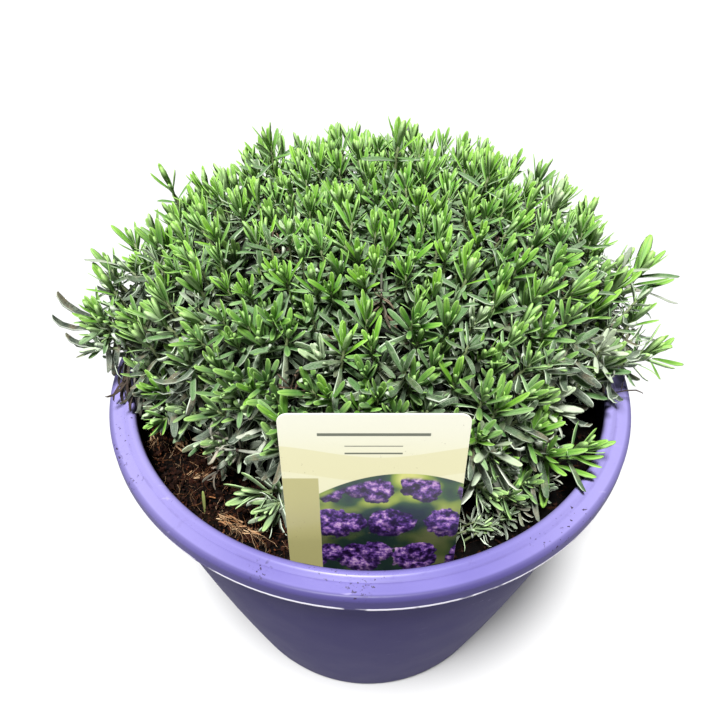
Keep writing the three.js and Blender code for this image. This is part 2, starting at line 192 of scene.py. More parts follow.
def modify(piece, kind, **settings):
    """Adds a modifier and applies it."""
    make_active(piece)
    modifier = piece.modifiers.new(kind.title(), kind)
    for name, value in settings.items():
        setattr(modifier, name, value)
    bpy.ops.object.modifier_apply(modifier=modifier.name)


def smooth(piece, angle=None):
    make_active(piece)
    if angle is None:
        bpy.ops.object.shade_smooth()
    else:
        bpy.ops.object.shade_smooth_by_angle(angle=math.radians(angle))


def copy_of(form, place):
    """A copy of a form with its own mesh, put in place."""
    piece = form.copy()
    piece.data = form.data.copy()
    piece.matrix_world = place
    bpy.context.scene.collection.objects.link(piece)
    return piece


def join(pieces, name):
    """One object of several, at the origin."""
    deselect_all()
    for piece in pieces:
        piece.select_set(True)
    bpy.context.view_layer.objects.active = pieces[0]
    bpy.context.view_layer.update()
    if len(pieces) > 1:
        bpy.ops.object.join()
    whole = bpy.context.object
    whole.name = whole.data.name = name
    bpy.ops.object.transform_apply(location=True, rotation=True, scale=True)
    return whole


def wear(piece, finish):
    piece.data.materials.clear()
    piece.data.materials.append(finish)


def points_of(mesh):
    points = np.empty(len(mesh.vertices) * 3, np.float32)
    mesh.vertices.foreach_get("co", points)
    return points.reshape(-1, 3)


def world_points(piece):
    """A piece's points in millimetres, where it stands."""
    matrix = np.array(piece.matrix_world)
    return (points_of(piece.data) @ matrix[:3, :3].T + matrix[:3, 3]) / MM


def mark(mesh, name, values):
    """Writes a vector for each vertex, which the finishes read; one vector is the same all over."""
    layer = mesh.attributes.get(name) or mesh.attributes.new(name, "FLOAT_VECTOR", "POINT")
    table = np.empty((len(mesh.vertices), 3), np.float32)
    table[:] = values
    layer.data.foreach_set("vector", table.ravel())


def put_away(forms):
    for form in forms:
        bpy.data.objects.remove(form)


# Finishes


def leaf_paint(red, green, blue):
    return paint(red, green, blue, 0.95)


def print_paint(red, green, blue):
    return paint(red, green, blue, 0.66)


def under_top(*drops):
    """Heights in metres, given in millimetres under the planter's top."""
    return [(POT_HEIGHT - drop) * MM for drop in drops]


def inside_rim(*insets):
    """Radii in metres, given in millimetres inside the rim's edge."""
    return [(RIM_RADIUS - inset) * MM for inset in insets]


class Port:
    """A node's output. Arithmetic signs between ports and numbers add Math nodes."""

    def __init__(self, finish, socket):
        self.finish, self.socket = finish, socket

    def maths(self, operation, *others):
        return self.finish.add("ShaderNodeMath", {"operation": operation}, dict(enumerate((self, *others))))

    def also(self, name):
        """Another output of the same node."""
        return Port(self.finish, self.socket.node.outputs[name])

    def __add__(self, other):
        return self.maths("ADD", other)

    __radd__ = __add__

    def __mul__(self, other):
        return self.maths("MULTIPLY", other)

    __rmul__ = __mul__

    def __sub__(self, other):
        return self.maths("SUBTRACT", other)

    def __rsub__(self, other):
        return (self * -1) + other

    def __truediv__(self, other):
        return self.maths("DIVIDE", other)

    def __pow__(self, other):
        return self.maths("POWER", other)

    def step(self, low, high):
        """0 under low, 1 over high, and smooth between them; falls where low is over high."""
        if low > high:
            return 1 - self.step(high, low)
        inputs = {0: self, 1: low, 2: high, 3: 0, 4: 1}
        return self.finish.add("ShaderNodeMapRange", {"interpolation_type": "SMOOTHSTEP"}, inputs)


class Finish:
    """A material and its nodes."""

    def __init__(self, name, **constants):
        self.material = bpy.data.materials.new(name)
        self.material.use_nodes = True
        self.nodes = self.material.node_tree.nodes
        self.links = self.material.node_tree.links
        self.shader = self.nodes["Principled BSDF"]
        for socket, value in constants.items():
            self.shader.inputs[socket.replace("_", " ")].default_value = value

    def add(self, kind, settings=None, inputs=None, output=0):
        node = self.nodes.new(kind)
        for name, value in (settings or {}).items():
            if name == "stops":
                ramp = node.color_ramp
                while len(ramp.elements) < len(value):
                    ramp.elements.new(1)
                for element, (place, colour) in zip(ramp.elements, value):
                    element.position, element.color = place, colour
            else:
                setattr(node, name, value)
        for name, value in (inputs or {}).items():
            if isinstance(value, Port):
                self.links.new(value.socket, node.inputs[name])
            else:
                node.inputs[name].default_value = value
        return Port(self, node.outputs[output])

    def feed(self, socket, port):
        self.links.new(port.socket, self.shader.inputs[socket])

    def place(self, turned=0.0):
        """Where a point is on the piece, as a vector."""
        here = self.add("ShaderNodeTexCoord", output="Object")
        if turned:
            here = self.add("ShaderNodeMapping", None, {"Vector": here, "Rotation": (turned, 0, 0)})
        return here

    def parts(self, vector):
        x = self.add("ShaderNodeSeparateXYZ", None, {0: vector})
        return x, x.also("Y"), x.also("Z")

    def marked(self, name):
        return self.parts(self.add("ShaderNodeAttribute", {"attribute_name": name}, output="Vector"))

    def noise(self, vector, scale, detail, roughness=0.55, stretch=None):
        if stretch:
            vector = self.add("ShaderNodeMapping", None, {"Vector": vector, "Scale": stretch})
        inputs = {"Vector": vector, "Scale": scale, "Detail": detail, "Roughness": roughness}
        return self.add("ShaderNodeTexNoise", None, inputs)

    def blend(self, share, first, second):
        settings = {"data_type": "RGBA", "clamp_factor": True}
        return self.add("ShaderNodeMix", settings, {0: share, 6: first, 7: second}, output=2)

    def layers(self, colour, *coats):
        """Lays coats over a colour, one after the other; each is a share and a colour."""
        for share, coat in coats:
            colour = self.blend(share, colour, coat)
        return colour

    def ramp(self, value, *stops):
        return self.add("ShaderNodeValToRGB", {"stops": stops}, {0: value})

    def relief(self, height, distance, strength, below=None):
        inputs = {"Height": height, "Distance": distance, "Strength": strength}
        if below:
            inputs["Normal"] = below
        return self.add("ShaderNodeBump", None, inputs)

    def finished(self, colour, roughness, normal):
        self.feed("Base Color", colour)
        self.feed("Roughness", roughness)
        self.feed("Normal", normal)
        return self.material


# Where soil was spilt on the rim: x, y and how far it spread, in millimetres
SPILLS = ((-117, -64, 7), (-108, -76, 6), (-46, -122, 7), (-6, -129, 8))


def planter_finish():
    f = Finish("planter_plastic", Specular_IOR_Level=0.04, Coat_Roughness=0.34)
    here = f.place()
    x, y, z = f.parts(here)
    radius = (x * x + y * y).maths("SQRT")
    cloud = f.noise(here, 22, 3)
    # The sides of the rim are painted paler, as painted light; the wall below the skirt and the rolled edge
    # are painted deeper, as painted shade.
    side = x.maths("ABSOLUTE").step(0.035, 0.11)
    low = z.step(*under_top(9, 14))
    rolled = z.step(*under_top(0.6, 2.6)) * radius.step(*inside_rim(3, 1.8))
    # Dust lies in the groove round the lip.
    (groove_radius,) = inside_rim(7.4)
    groove = (radius - groove_radius).maths("ABSOLUTE").step(0.0009, 0.0003) * z.step(*under_top(2.5, 1.5))
    patchy = f.noise(here, 60, 4).step(0.44, 0.62)
    # Specks of soil are rubbed into the rim, and crumbs lie where some was spilt.
    upper = z.step(*under_top(5.5, 3.5))
    specks = f.noise(here, 520, 2, 0.6).step(0.66, 0.69) * f.noise(here, 24, 3).step(0.52, 0.64) * upper
    crumbs = f.noise(here, 900, 2, 0.6).step(0.67, 0.70) * f.noise(here, 40, 3, 0.6).step(0.48, 0.6)
    crumbs = crumbs * radius.step(*inside_rim(6.5, 12.5)) * upper
    spilt = 0
    for spot_x, spot_y, spread in SPILLS:
        aside, back = x - spot_x * MM, y - spot_y * MM
        spilt = (aside * aside + back * back).maths("SQRT").step(spread * MM, MM) + spilt
    spilt = spilt * f.noise(here, 620, 3, 0.6).step(0.58, 0.63) * upper
    soiled = (specks + crumbs + spilt).maths("MINIMUM", 1)
    smear = f.noise(here, 130, 5, 0.7, (1, 1, 3)).step(0.56, 0.72) * upper
    # The wall inside is painted darker down from the lip, as painted shade, and in blots.
    inside = radius.step(*inside_rim(11.5, 12.8)) * z.step(*under_top(37, 29))
    blots = f.noise(here, 90, 4).step(0.35, 0.7) * z.step(*under_top(-0.5, 3))
    inner_darkening = (inside * (z.step(*under_top(0.5, 13)) * 0.6 + blots * 0.5)).maths("MINIMUM", 1)
    scuffs = f.noise(here, 240, 3, 0.6, (0.25, 1, 1)).step(0.66, 0.74) * f.noise(here, 18, 2).step(0.45, 0.6)
    # The mould's parting line is rubbed pale along the skirt's lower edge.
    (parting_height,) = under_top(9.7)
    parting = (z - parting_height).maths("ABSOLUTE").step(0.0011, 0.0008) * radius.step(*inside_rim(1.1, 0.6))
    plastic = f.layers(
        f.blend(cloud.step(0.35, 0.65), paint(130, 121, 196), paint(137, 128, 203)),
        # Painted light on the rim's sides, then painted shade on the wall below the skirt and on the rolled
        # edge.
        (side * 0.9, paint(171, 162, 226)),
        (low * 0.94, paint(69, 62, 124)),
        (rolled * (0.9 - side * 0.3), paint(84, 77, 136)),
        (groove * patchy * 0.2, paint(110, 98, 152)),
        (soiled * 0.92, paint(52, 36, 44)),
        (smear * 0.16, paint(120, 106, 150)),
        # Painted shade on the wall inside, down from the lip.
        (inner_darkening, paint(58, 44, 58)),
        (scuffs * 0.4, paint(206, 198, 244)),
        (parting * f.noise(here, 60, 3).step(0.38, 0.5), paint(246, 243, 255, 0.9)),
    )
    # The rim is rubbed smooth; the wall under it is matt with dust.
    f.feed("Coat Weight", z.step(*under_top(11.5, 8)) * (0.45 - smear * 0.3) * (1 - rolled * 0.85))
    roughness = 0.46 + f.noise(here, 45, 3) * 0.14 + specks * 0.3 + scuffs * 0.2
    grain = f.relief(f.noise(here, 900, 3, 0.7), 0.00012, 0.5)
    return f.finished(plastic, roughness, f.relief(f.noise(here, 14, 2), 0.0006, 0.35, grain))


def soil_finish():
    f = Finish("peat_with_painted_shade", Specular_IOR_Level=0.08)
    here = f.place()
    lumps = f.noise(here, 150, 7, 0.72)
    strands = f.noise(here, 620, 5, 0.75, (1, 0.18, 1)).step(0.57, 0.66)
    crossed = f.noise(here, 600, 5, 0.75, (0.16, 1, 1)).step(0.58, 0.67)
    moss = f.noise(here, 34, 4).step(0.60, 0.70) * f.noise(here, 500, 3).step(0.4, 0.6)
    # The peat is painted darker than it is, near black in its hollows: painted shade.
    peat = f.ramp(
        lumps,
        (0.46, paint(2, 2, 1)),
        (0.56, paint(9, 6, 4)),
        (0.64, paint(30, 17, 10)),
        (0.73, paint(88, 50, 28)),
        (0.82, paint(176, 116, 68)),
    )
    colour = f.layers(
        peat,
        ((strands + crossed).maths("MINIMUM", 1) * 0.35, paint(140, 82, 46)),
        # Large near-black patches: painted shade.
        (f.noise(here, 30, 3).step(0.40, 0.60) * 0.8, paint(15, 10, 7)),
        (moss * 0.45, paint(64, 66, 26)),
    )
    fine = f.noise(here, 900, 6, 0.8)
    return f.finished(colour, 0.72 + lumps * 0.35, f.relief(fine, 0.0016, 1.0, f.relief(lumps, 0.005, 0.9)))


def litter_finish():
    """Bark chips and coir: the mark says how pale and how red each bit is."""
    f = Finish("bark_and_coir", Specular_IOR_Level=0.12)
    pale, warm, _ = f.marked("tone")
    bleached = pale.step(0.8, 0.95)
    grain = f.noise(f.place(), 900, 4, 0.7, (1, 0.3, 1))
    bark = f.ramp(
        pale,
        (0.0, paint(8, 5, 3)),
        (0.45, paint(34, 18, 10)),
        (0.74, paint(136, 78, 42)),
        (0.86, paint(214, 150, 96)),
        (1.0, paint(255, 222, 178)),
    )
    colour = f.layers(
        bark,
        (warm * (0.4 - bleached * 0.3), paint(96, 46, 26)),
        (grain.step(0.35, 0.6) * (0.5 - bleached * 0.3), paint(28, 17, 11)),
    )
    return f.finished(colour, 0.7 + grain * 0.3, f.relief(grain, 0.0006, 0.8))


def bark_finish():
    f = Finish("grey_bark")
    here = f.place()
    ridges = f.noise(here, 420, 5, 0.65, (1, 1, 0.3))
    bark = f.ramp(
        ridges,
        (0.3, paint(58, 42, 32)),
        (0.5, paint(98, 76, 58)),
        (0.68, paint(134, 112, 90)),
        (0.8, paint(160, 146, 124)),
    )
    colour = f.blend(f.noise(here, 60, 3).step(0.5, 0.7) * 0.5, bark, paint(74, 66, 48))
    return f.finished(colour, 0.75 + ridges * 0.25, f.relief(ridges, 0.0012, 0.9))


def leaf_finish():
    """Narrow felted leaves. The marks are blade: along and across; tone: age, chance and dryness;
    shoot: chance, depth in the bush and paleness."""
    f = Finish("felted_leaf", Specular_IOR_Level=0.22)
    along, across, _ = f.marked("blade")
    age, chance, dry = f.marked("tone")
    shoot, depth, pale = f.marked("shoot")
    here = f.place()
    felt = f.noise(here, 1500, 3, 0.7)
    blotch = f.noise(here, 260, 3, 0.6)
    # The upper shoots are fresher, down to their old leaves, and the low ones greyer; leaves are also painted
    # lighter high up and darker low down, as painted light and shade.
    high = f.parts(here)[2].step(0.23, 0.295)
    low = 1 - high
    young = f.layers(
        f.blend(shoot, leaf_paint(116, 170, 36), leaf_paint(64, 124, 24)),
        (chance * 0.5, leaf_paint(54, 110, 30)),
        (low * 0.5, leaf_paint(64, 102, 44)),
        (shoot.step(0.28, 0.43) * low * 0.8, leaf_paint(82, 98, 74)),
        (along.step(0.5, 1.0) * 0.42, leaf_paint(174, 220, 106)),
        (along.step(0.3, 0.0) * 0.4, leaf_paint(168, 204, 108)),
    )
    grown = f.blend(chance, leaf_paint(58, 100, 44), leaf_paint(114, 144, 96))
    old = f.layers(
        f.blend(chance, leaf_paint(32, 40, 34), leaf_paint(86, 98, 84)),
        (high * 0.65, leaf_paint(84, 122, 66)),
        (f.noise(here, 90, 2).step(0.5, 0.66) * low * 0.7, leaf_paint(100, 84, 66)),
    )
    # Pale felt lies on the rolled margins, less so at the tip, and a darker line runs down the groove as
    # painted shade.
    margin = across.step(0.68, 0.88) * (0.38 + 0.56 * age) * (1 - along.step(0.9, 1.0) * 0.6)
    edging = f.blend(age, leaf_paint(188, 224, 150), leaf_paint(220, 230, 212))
    groove = f.blend(age, leaf_paint(56, 112, 34), leaf_paint(34, 44, 34))
    # Leaves deep in the bush are painted dark, as painted shade; dying ones turn brown or silvery.
    dying = f.blend(chance, leaf_paint(34, 26, 22), leaf_paint(128, 98, 80))
    colour = f.layers(
        young,
        (age.step(0.12, 0.5), grown),
        (age.step(0.5, 0.8), old),
        (margin, edging),
        (across.step(0.28, 0.02) * 0.5, groove),
        (blotch.step(0.45, 0.7) * (0.04 + 0.16 * age), leaf_paint(138, 148, 124)),
        (felt.step(0.45, 0.72) * (0.04 + 0.14 * age), leaf_paint(200, 212, 184)),
        (depth.step(0.3, 0.9) * 0.9, leaf_paint(14, 18, 12)),
        (dry * (0.8 + 0.2 * blotch), dying),
        (pale * (0.6 + 0.5 * felt), leaf_paint(196, 202, 184)),
    )
    roughness = 0.36 + age * 0.26 + felt * 0.18
    return f.finished(colour, roughness, f.relief(felt, 0.00022, 0.5, f.relief(blotch, 0.0005, 0.4)))


def stalk_finish():
    f = Finish("green_stalk")
    age, _, dry = f.marked("tone")
    _, depth, _ = f.marked("shoot")
    fibres = f.noise(f.place(), 800, 4, 0.6)
    colour = f.layers(
        f.blend(age.step(0.2, 0.9), leaf_paint(96, 122, 66), leaf_paint(84, 78, 60)),
        (fibres.step(0.4, 0.65) * 0.3, leaf_paint(140, 146, 112)),
        # Stalks deep in the bush are painted dark, as painted shade.
        (depth * 0.6, paint(62, 52, 40)),
        (dry, paint(70, 50, 38)),
    )
    return f.finished(colour, 0.5 + fibres * 0.25, f.relief(fibres, 0.0004, 0.6))


def heart_finish():
    f = Finish("shaded_growth")
    # Near-black colours: painted shade for the dense inside of the bush.
    tangle = f.noise(f.place(), 260, 5, 0.75)
    colour = f.ramp(
        tangle,
        (0.35, paint(10, 12, 8)),
        (0.5, paint(22, 27, 17)),
        (0.62, paint(40, 48, 32)),
        (0.75, paint(58, 54, 40)),
    )
    return f.finished(colour, 0.8 + tangle * 0.2, f.relief(tangle, 0.004, 1.0))


def card_finish():
    """A printed card: cream above, a soft picture of round posies below, and an olive border."""
    f = Finish("printed_card", Coat_Weight=0.15)
    here = f.place(-LABEL_LEAN)
    x, _, z = f.parts(here)
    # Millimetres across the card from its middle, and down from its top.
    top = LABEL_TOP * MM * math.cos(LABEL_LEAN) - LABEL_Y_AT_RIM * MM * math.sin(LABEL_LEAN)
    across = x * 1000
    down = (top - z) * 1000
    cream = f.blend(down.step(0, 34), print_paint(249, 248, 228), print_paint(243, 240, 200))
    swell = ((across + 20) * 0.07).maths("SINE") * 3.2
    sash = (down - 26 - swell).maths("ABSOLUTE").step(7.0, 6.6)
    # Olive border down the left side and a picture to the right of it.
    olive = across.step(-21.0, -21.4) * down.step(33.6, 34.0)
    hill = down - 31 - ((across - 12) / 26) ** 2 * 7
    picture = hill.step(0, 0.4) * across.step(-21.4, -21.0)
    ground = f.ramp(
        f.noise(here, 60, 2, 0.4),
        (0.36, print_paint(26, 54, 56)),
        (0.47, print_paint(56, 92, 56)),
        (0.57, print_paint(158, 178, 70)),
        (0.68, print_paint(220, 222, 126)),
    )
    ground = f.blend(down.step(44, 62) * 0.85, ground, print_paint(28, 42, 40))
    colour = f.layers(
        cream,
        (sash * 0.8, print_paint(236, 231, 182)),
        (olive, print_paint(196, 190, 128)),
        (picture, ground),
    )
    # Round posies of small florets, in staggered rows.
    florets = f.noise(here, 360, 3, 0.62) + (f.noise(here, 120, 1) - 0.5) * 0.25
    petals = f.ramp(
        florets,
        (0.38, print_paint(26, 13, 46)),
        (0.47, print_paint(66, 38, 104)),
        (0.54, print_paint(112, 74, 156)),
        (0.61, print_paint(168, 122, 192)),
        (0.68, print_paint(222, 184, 226)),
    )
    ragged = (f.noise(here, 260, 2) - 0.5) * 0.7
    for pitch, shift, size in ((23.0, 3.0, 9.4), (19.0, 13.0, 6.6)):
        row = ((down - shift) / pitch).maths("FLOOR")
        shifted = across / pitch + row * 0.5 + shift * 0.07
        column = shifted.maths("FLOOR")
        cell = f.add("ShaderNodeCombineXYZ", None, {0: row, 1: column, 2: shift})
        chance = f.add("ShaderNodeTexWhiteNoise", None, {"Vector": cell}, output="Value")
        u = (shifted - column - 0.5) * pitch
        v = (down - shift) - (row + 0.5) * pitch
        share = (u * u + v * v).maths("SQRT") / (size * (0.85 + chance * 0.25)) + ragged
        posy = share.step(1.0, 0.94) * picture * hill.step(1.5, 4)
        shade = (share + v / size * 0.5).step(0.5, 1.3)
        colour = f.blend(posy, colour, f.blend(shade * 0.75, petals, print_paint(26, 14, 44)))
    # Three plain rules: middle, half width and height.
    for middle, half, height in ((10.5, 21, 1.7), (16.4, 11, 0.7), (20.2, 11, 1.1)):
        beside = across.maths("ABSOLUTE").step(half, half - 0.25)
        rule = beside * (down - middle).maths("ABSOLUTE").step(height / 2, height / 2 - 0.25)
        colour = f.blend(rule * 0.9, colour, print_paint(66, 76, 58))
    flecks = f.noise(here, 900, 2, 0.5).step(0.70, 0.73) * f.noise(here, 40, 2).step(0.5, 0.62)
    colour = f.blend(flecks * 0.6, colour, print_paint(110, 92, 70))
    # The front is printed; the cut edges and the back are plain.
    front = f.parts(f.add("ShaderNodeNewGeometry", output="Normal"))[1].step(-0.4, -0.6)
    colour = f.blend(front, print_paint(244, 242, 230), colour)
    roughness = 0.24 + f.noise(here, 120, 3) * 0.16
    return f.finished(colour, roughness, f.relief(f.noise(here, 300, 3), 0.0001, 0.3))


def floor_finish():
    f = Finish("pale_floor", Roughness=0.9, Specular_IOR_Level=0.1)
    cloud = f.noise(f.place(), 6, 2)
    f.feed("Base Color", f.blend(cloud, paint(168, 168, 169, 1), paint(171, 171, 171, 1)))
    return f.material


# Camera, floor and light


def set_camera():
    bpy.ops.object.camera_add(location=CAMERA_PLACE, rotation=(CAMERA_TILT, 0, 0))
    camera = bpy.context.object
    camera.name = "photo_camera"
    camera.data.lens = 36
    camera.data.sensor_width = 36
    camera.data.clip_start = 0.01
    bpy.context.scene.camera = camera


def set_stage():
    bpy.ops.mesh.primitive_plane_add(size=FLOOR_SIZE, location=(0, 0, 0))
    floor = bpy.context.object
    floor.name = floor.data.name = "floor"
    wear(floor, floor_finish())
    for name, (elevation, azimuth, power, spread) in LAMPS.items():
        place = direction(math.radians(azimuth), elevation)
        bpy.ops.object.light_add(type="SUN", location=place)
        lamp = bpy.context.object
        lamp.name = name
        lamp.data.angle = math.radians(spread)
        lamp.data.energy = power
        lamp.rotation_euler = place.to_track_quat("Z", "Y").to_euler()
    set_room()
    bpy.context.scene.view_settings.view_transform = "Standard"


def set_room():
    """Faint light from all round, and white behind the floor's edge."""
    world = bpy.data.worlds.new("soft_room")
    bpy.context.scene.world = world
    world.use_nodes = True
    nodes, links = world.node_tree.nodes, world.node_tree.links
    room = nodes["Background"]
    room.inputs["Color"].default_value = (1, 1, 1, 1)
    rays = nodes.new("ShaderNodeLightPath")
    strength = nodes.new("ShaderNodeMath")
    strength.operation = "MAXIMUM"
    strength.inputs[1].default_value = ROOM_LIGHT
    links.new(rays.outputs["Is Camera Ray"], strength.inputs[0])
    links.new(strength.outputs["Value"], room.inputs["Strength"])


# Planter


def wall_radius(z):
    wall_top = POT_HEIGHT - SKIRT_DROP + 2
    share = clamped((wall_top - z) / wall_top)
    return WALL_TOP_RADIUS + (BASE_RADIUS - WALL_TOP_RADIUS) * share**WALL_BULGE


def turned_piece(name, sides, profile):
    """Draws a round piece up from a disc; each step of the profile is a radius and a height."""
    radius, height = profile[0]
    piece = disc(name, sides, radius, location=(0, 0, height * MM))
    for r, z in profile[1:]:
        pull(0, 0, (z - height) * MM)
        bpy.ops.transform.resize(value=(r / radius, r / radius, 1), center_override=(0, 0, z * MM))
        radius, height = r, z
    face_outwards()
    return piece


def arc(centre, radius, start, end, steps):
    """Points of a rounded corner in a profile; the angles are in degrees."""
    return [
        (centre[0] + radius * math.cos(math.radians(a)), centre[1] + radius * math.sin(math.radians(a)))
        for a in (start + (end - start) * i / steps for i in range(steps + 1))
    ]


def planter_profile():
    """From the middle of the underside, up the outside, over the rim and down the inside."""
    top = POT_HEIGHT
    skirt = top - SKIRT_DROP
    levels = [8, 30, 52, 74, 96, 118, 140, 158, 172, 180]
    foot = [(6, 1.4), (70, 1.4), (BASE_RADIUS - 7.5, 1.2), (BASE_RADIUS - 6.6, 0.2), (BASE_RADIUS - 6, 0)]
    foot += arc((BASE_RADIUS - 2.2, 2.2), 2.2, 270, 352, 5)
    wall = [(wall_radius(z), z) for z in levels]
    wall += [(WALL_TOP_RADIUS, skirt + 0.6), (WALL_TOP_RADIUS + 0.1, top - 5.4)]
    behind_skirt = [(WALL_TOP_RADIUS + 1.4, top - 4.2), (RIM_RADIUS - 3.0, top - 4.1)]
    behind_skirt += [(RIM_RADIUS - 2.0, top - 4.9), (RIM_RADIUS - 1.7, skirt + 0.8)]
    skirt_edge = arc((RIM_RADIUS - 0.75, skirt + 0.6), 0.6, 200, 340, 4)
    skirt_face = [(RIM_RADIUS, skirt + 1.6), (RIM_RADIUS - 0.1, top - 4.6)]
    rim = arc((RIM_RADIUS - 2.6, top - 4.4), 2.55, 8, 78, 5)
    groove = ((4.6, 1.75), (6.4, 1.5), (7.1, 1.5), (7.5, 1.62), (8.0, 1.3))
    rim += [(RIM_RADIUS - inset, top - drop) for inset, drop in groove]
    lip = arc((RIM_RADIUS - 10.7, top - 2.5), 2.5, 48, 150, 7)
    lip += [(LIP_RADIUS + 0.15, top - 3.0), (LIP_RADIUS + 0.5, top - 5.5), (LIP_RADIUS + 1.2, top - 9)]
    inside = [(wall_radius(z) - WALL, z) for z in reversed(levels[:-1])]
    floor = [(BASE_RADIUS - WALL - 1.0, FLOOR + 1.6), (BASE_RADIUS - WALL - 3.2, FLOOR), (6, FLOOR)]
    return foot + wall + behind_skirt + skirt_edge + skirt_face + rim + lip + inside + floor


def build_planter(finish):
    planter = turned_piece("planter", POT_SIDES, planter_profile())
    done()
    drills = []
    for i in range(DRAIN_HOLES):
        angle = i / DRAIN_HOLES * TURN
        x, y = DRAIN_RING_RADIUS * math.cos(angle), DRAIN_RING_RADIUS * math.sin(angle)
        place, bore = (x * MM, y * MM, 2 * MM), DRAIN_RADIUS * MM
        bpy.ops.mesh.primitive_cylinder_add(vertices=28, radius=bore, depth=20 * MM, location=place)
        drills.append(bpy.context.object)
    drill = join(drills, "drill")
    modify(planter, "BOOLEAN", operation="DIFFERENCE", solver="EXACT", object=drill)
    put_away([drill])
    smooth(planter, 32)
    wear(planter, finish)
    return planter


# Soil and what lies on it


def soil_height(x, y):
    share = min(math.hypot(x, y) / LIP_RADIUS, 1)
    lumps = 1.6 * math.sin(x * 0.11 + 1.3) * math.cos(y * 0.13) + math.sin(x * 0.23 - y * 0.19)
    return SOIL_LEVEL + SOIL_MOUND * (1 - share * share) + lumps * (1 - share**6)


def cloud_texture(name, size, depth):
    texture = bpy.data.textures.new(name, "CLOUDS")
    texture.noise_scale = size
    texture.noise_depth = depth
    return texture


def soil_radius(z):
    return wall_radius(z) - WALL - SOIL_GAP


# Grades of lumps on the soil: size in metres, height in millimetres, depth of detail
LUMPS = ((0.017, 7.0, 2), (0.0055, 4.4, 3), (0.0022, 1.8, 1))


def build_soil(finish):
    edge = soil_radius(SOIL_LEVEL)
    rings = [edge * (1 - 0.0105 * i) for i in range(1, 40)] + [62, 50, 38, 26, 14, 5]
    profile = [(10, FLOOR + SOIL_GAP), (BASE_RADIUS - WALL - 3.8, FLOOR + SOIL_GAP)]
    profile += [(soil_radius(z), z) for z in (8, 40, 80, 120, 150)]
    profile += [(edge, SOIL_LEVEL)] + [(r, SOIL_LEVEL) for r in rings]
    soil = turned_piece("soil", SOIL_SIDES, profile)
    done()
    points = points_of(soil.data)
    upper = points[:, 2] > (SOIL_LEVEL - 0.5) * MM
    for i in np.nonzero(upper)[0]:
        x, y = points[i, 0] / MM, points[i, 1] / MM
        points[i, 2] = soil_height(x, y) * MM
    soil.data.vertices.foreach_set("co", points.ravel())
    group = soil.vertex_groups.new(name="loose_top")
    radii = np.hypot(points[:, 0], points[:, 1])
    inner = np.nonzero(upper & (radii < (edge - 0.6) * MM))[0]
    group.add([int(i) for i in inner], 1.0, "REPLACE")
    for size, height, depth in LUMPS:
        modify(
            soil,
            "DISPLACE",
            texture=cloud_texture(f"soil_{size}", size, depth),
            strength=height * MM,
            mid_level=0.5,
            direction="Z",
            vertex_group="loose_top",
        )
    smooth(soil, 50)
    wear(soil, finish)
    return soil


def chip_forms():
    """Crumbs of peat, flat bark chips and coir fibres, each as a few forms."""
    crumbs, chips = [], []
    for i in range(4):
        bpy.ops.mesh.primitive_ico_sphere_add(subdivisions=1, radius=MM)
        begin(f"crumb_{i}")
        bpy.ops.transform.vertex_random(offset=0.45 * MM, uniform=0.5, seed=i + 3)
        bpy.ops.transform.resize(value=(1, 0.8, 0.6))
        crumbs.append(done())
        smooth(crumbs[-1])
    for i in range(4):
        bpy.ops.mesh.primitive_cube_add(size=MM)
        begin(f"chip_{i}")
        bpy.ops.mesh.subdivide(number_cuts=2)
        bpy.ops.transform.resize(value=(6.5, 0.8, 0.4))
        bpy.ops.transform.vertex_random(offset=0.3 * MM, uniform=0.5, seed=i + 11)
        chips.append(done())
    fibres = [strand_form(f"fibre_{i}", 8 + 2.4 * i, 0.10, 5, 26, i + 40) for i in range(6)]
    return crumbs, chips, fibres


def strand_form(name, length, radius, steps, bend, seed):
    """A thin curved strand that starts at the origin and runs along X."""
    chance = random.Random(seed)
    disc(name, 3, radius, rotation=(0, math.pi / 2, 0))
    here, heading = Vector(), Euler((0, 0, 0))
    step = length * MM / steps
    for _ in range(steps):
        yaw, pitch = (math.radians(chance.uniform(-bend, bend)) for _ in range(2))
        heading = Euler((0, heading.y + pitch, heading.z + yaw))
        forward = heading.to_matrix() @ Vector((step, 0, 0))
        pull(*forward)
        here = here + forward
        turn(yaw, "Z", here)
        bpy.ops.transform.resize(value=(0.94, 0.94, 0.94), center_override=here)
    close_up()
    return done()


def scattered(forms, count, choose, size, tone, lift, tilt, yaw=None):
    """Copies of the forms, lying about on the soil; with a yaw they lie that way."""
    bits = []
    for _ in range(count):
        x, y = choose()
        form = draw.choice(forms)
        place = Vector((x, y, soil_height(x, y) + draw.uniform(*lift))) * MM
        facing = draw.uniform(0, TURN) if yaw is None else draw.gauss(yaw, 0.22)
        turned = Euler((draw.gauss(0, tilt), draw.gauss(0, tilt), facing))
        scale = draw.uniform(*size)
        bit = copy_of(form, Matrix.LocRotScale(place, turned, Vector((scale, scale, scale))))
        mark(bit.data, "tone", (draw.uniform(*tone), draw.random(), 0))
        bits.append(bit)
    return bits


def on_ring(inner, outer, start=0.0, end=360.0):
    """A chooser of places between two radii and two azimuths in degrees."""

    def choose():
        radius = math.sqrt(draw.uniform(inner**2, outer**2))
        azimuth = math.radians(draw.uniform(start, end))
        return radius * math.cos(azimuth), radius * math.sin(azimuth)

    return choose


def around(x, y, spread):
    """A chooser of places near a point."""

    def choose():
        return x + draw.gauss(0, spread), y + draw.gauss(0, spread * 0.7)

    return choose


# Where pale splinters lie: place, how far they spread, how many, which way and how big
SPLINTERS = (
    (-95, -40, 2.6, 12, -0.9, 0.8),
    (-112, -36, 2.4, 7, -1.2, 0.5),
    (-69, -85, 1.6, 8, -0.45, 0.75),
    (-62, -89, 1.6, 9, -0.45, 0.8),
    (-54, -93, 1.6, 8, -0.35, 0.7),
    (-84, -60, 2.6, 8, 0.4, 0.5),
)


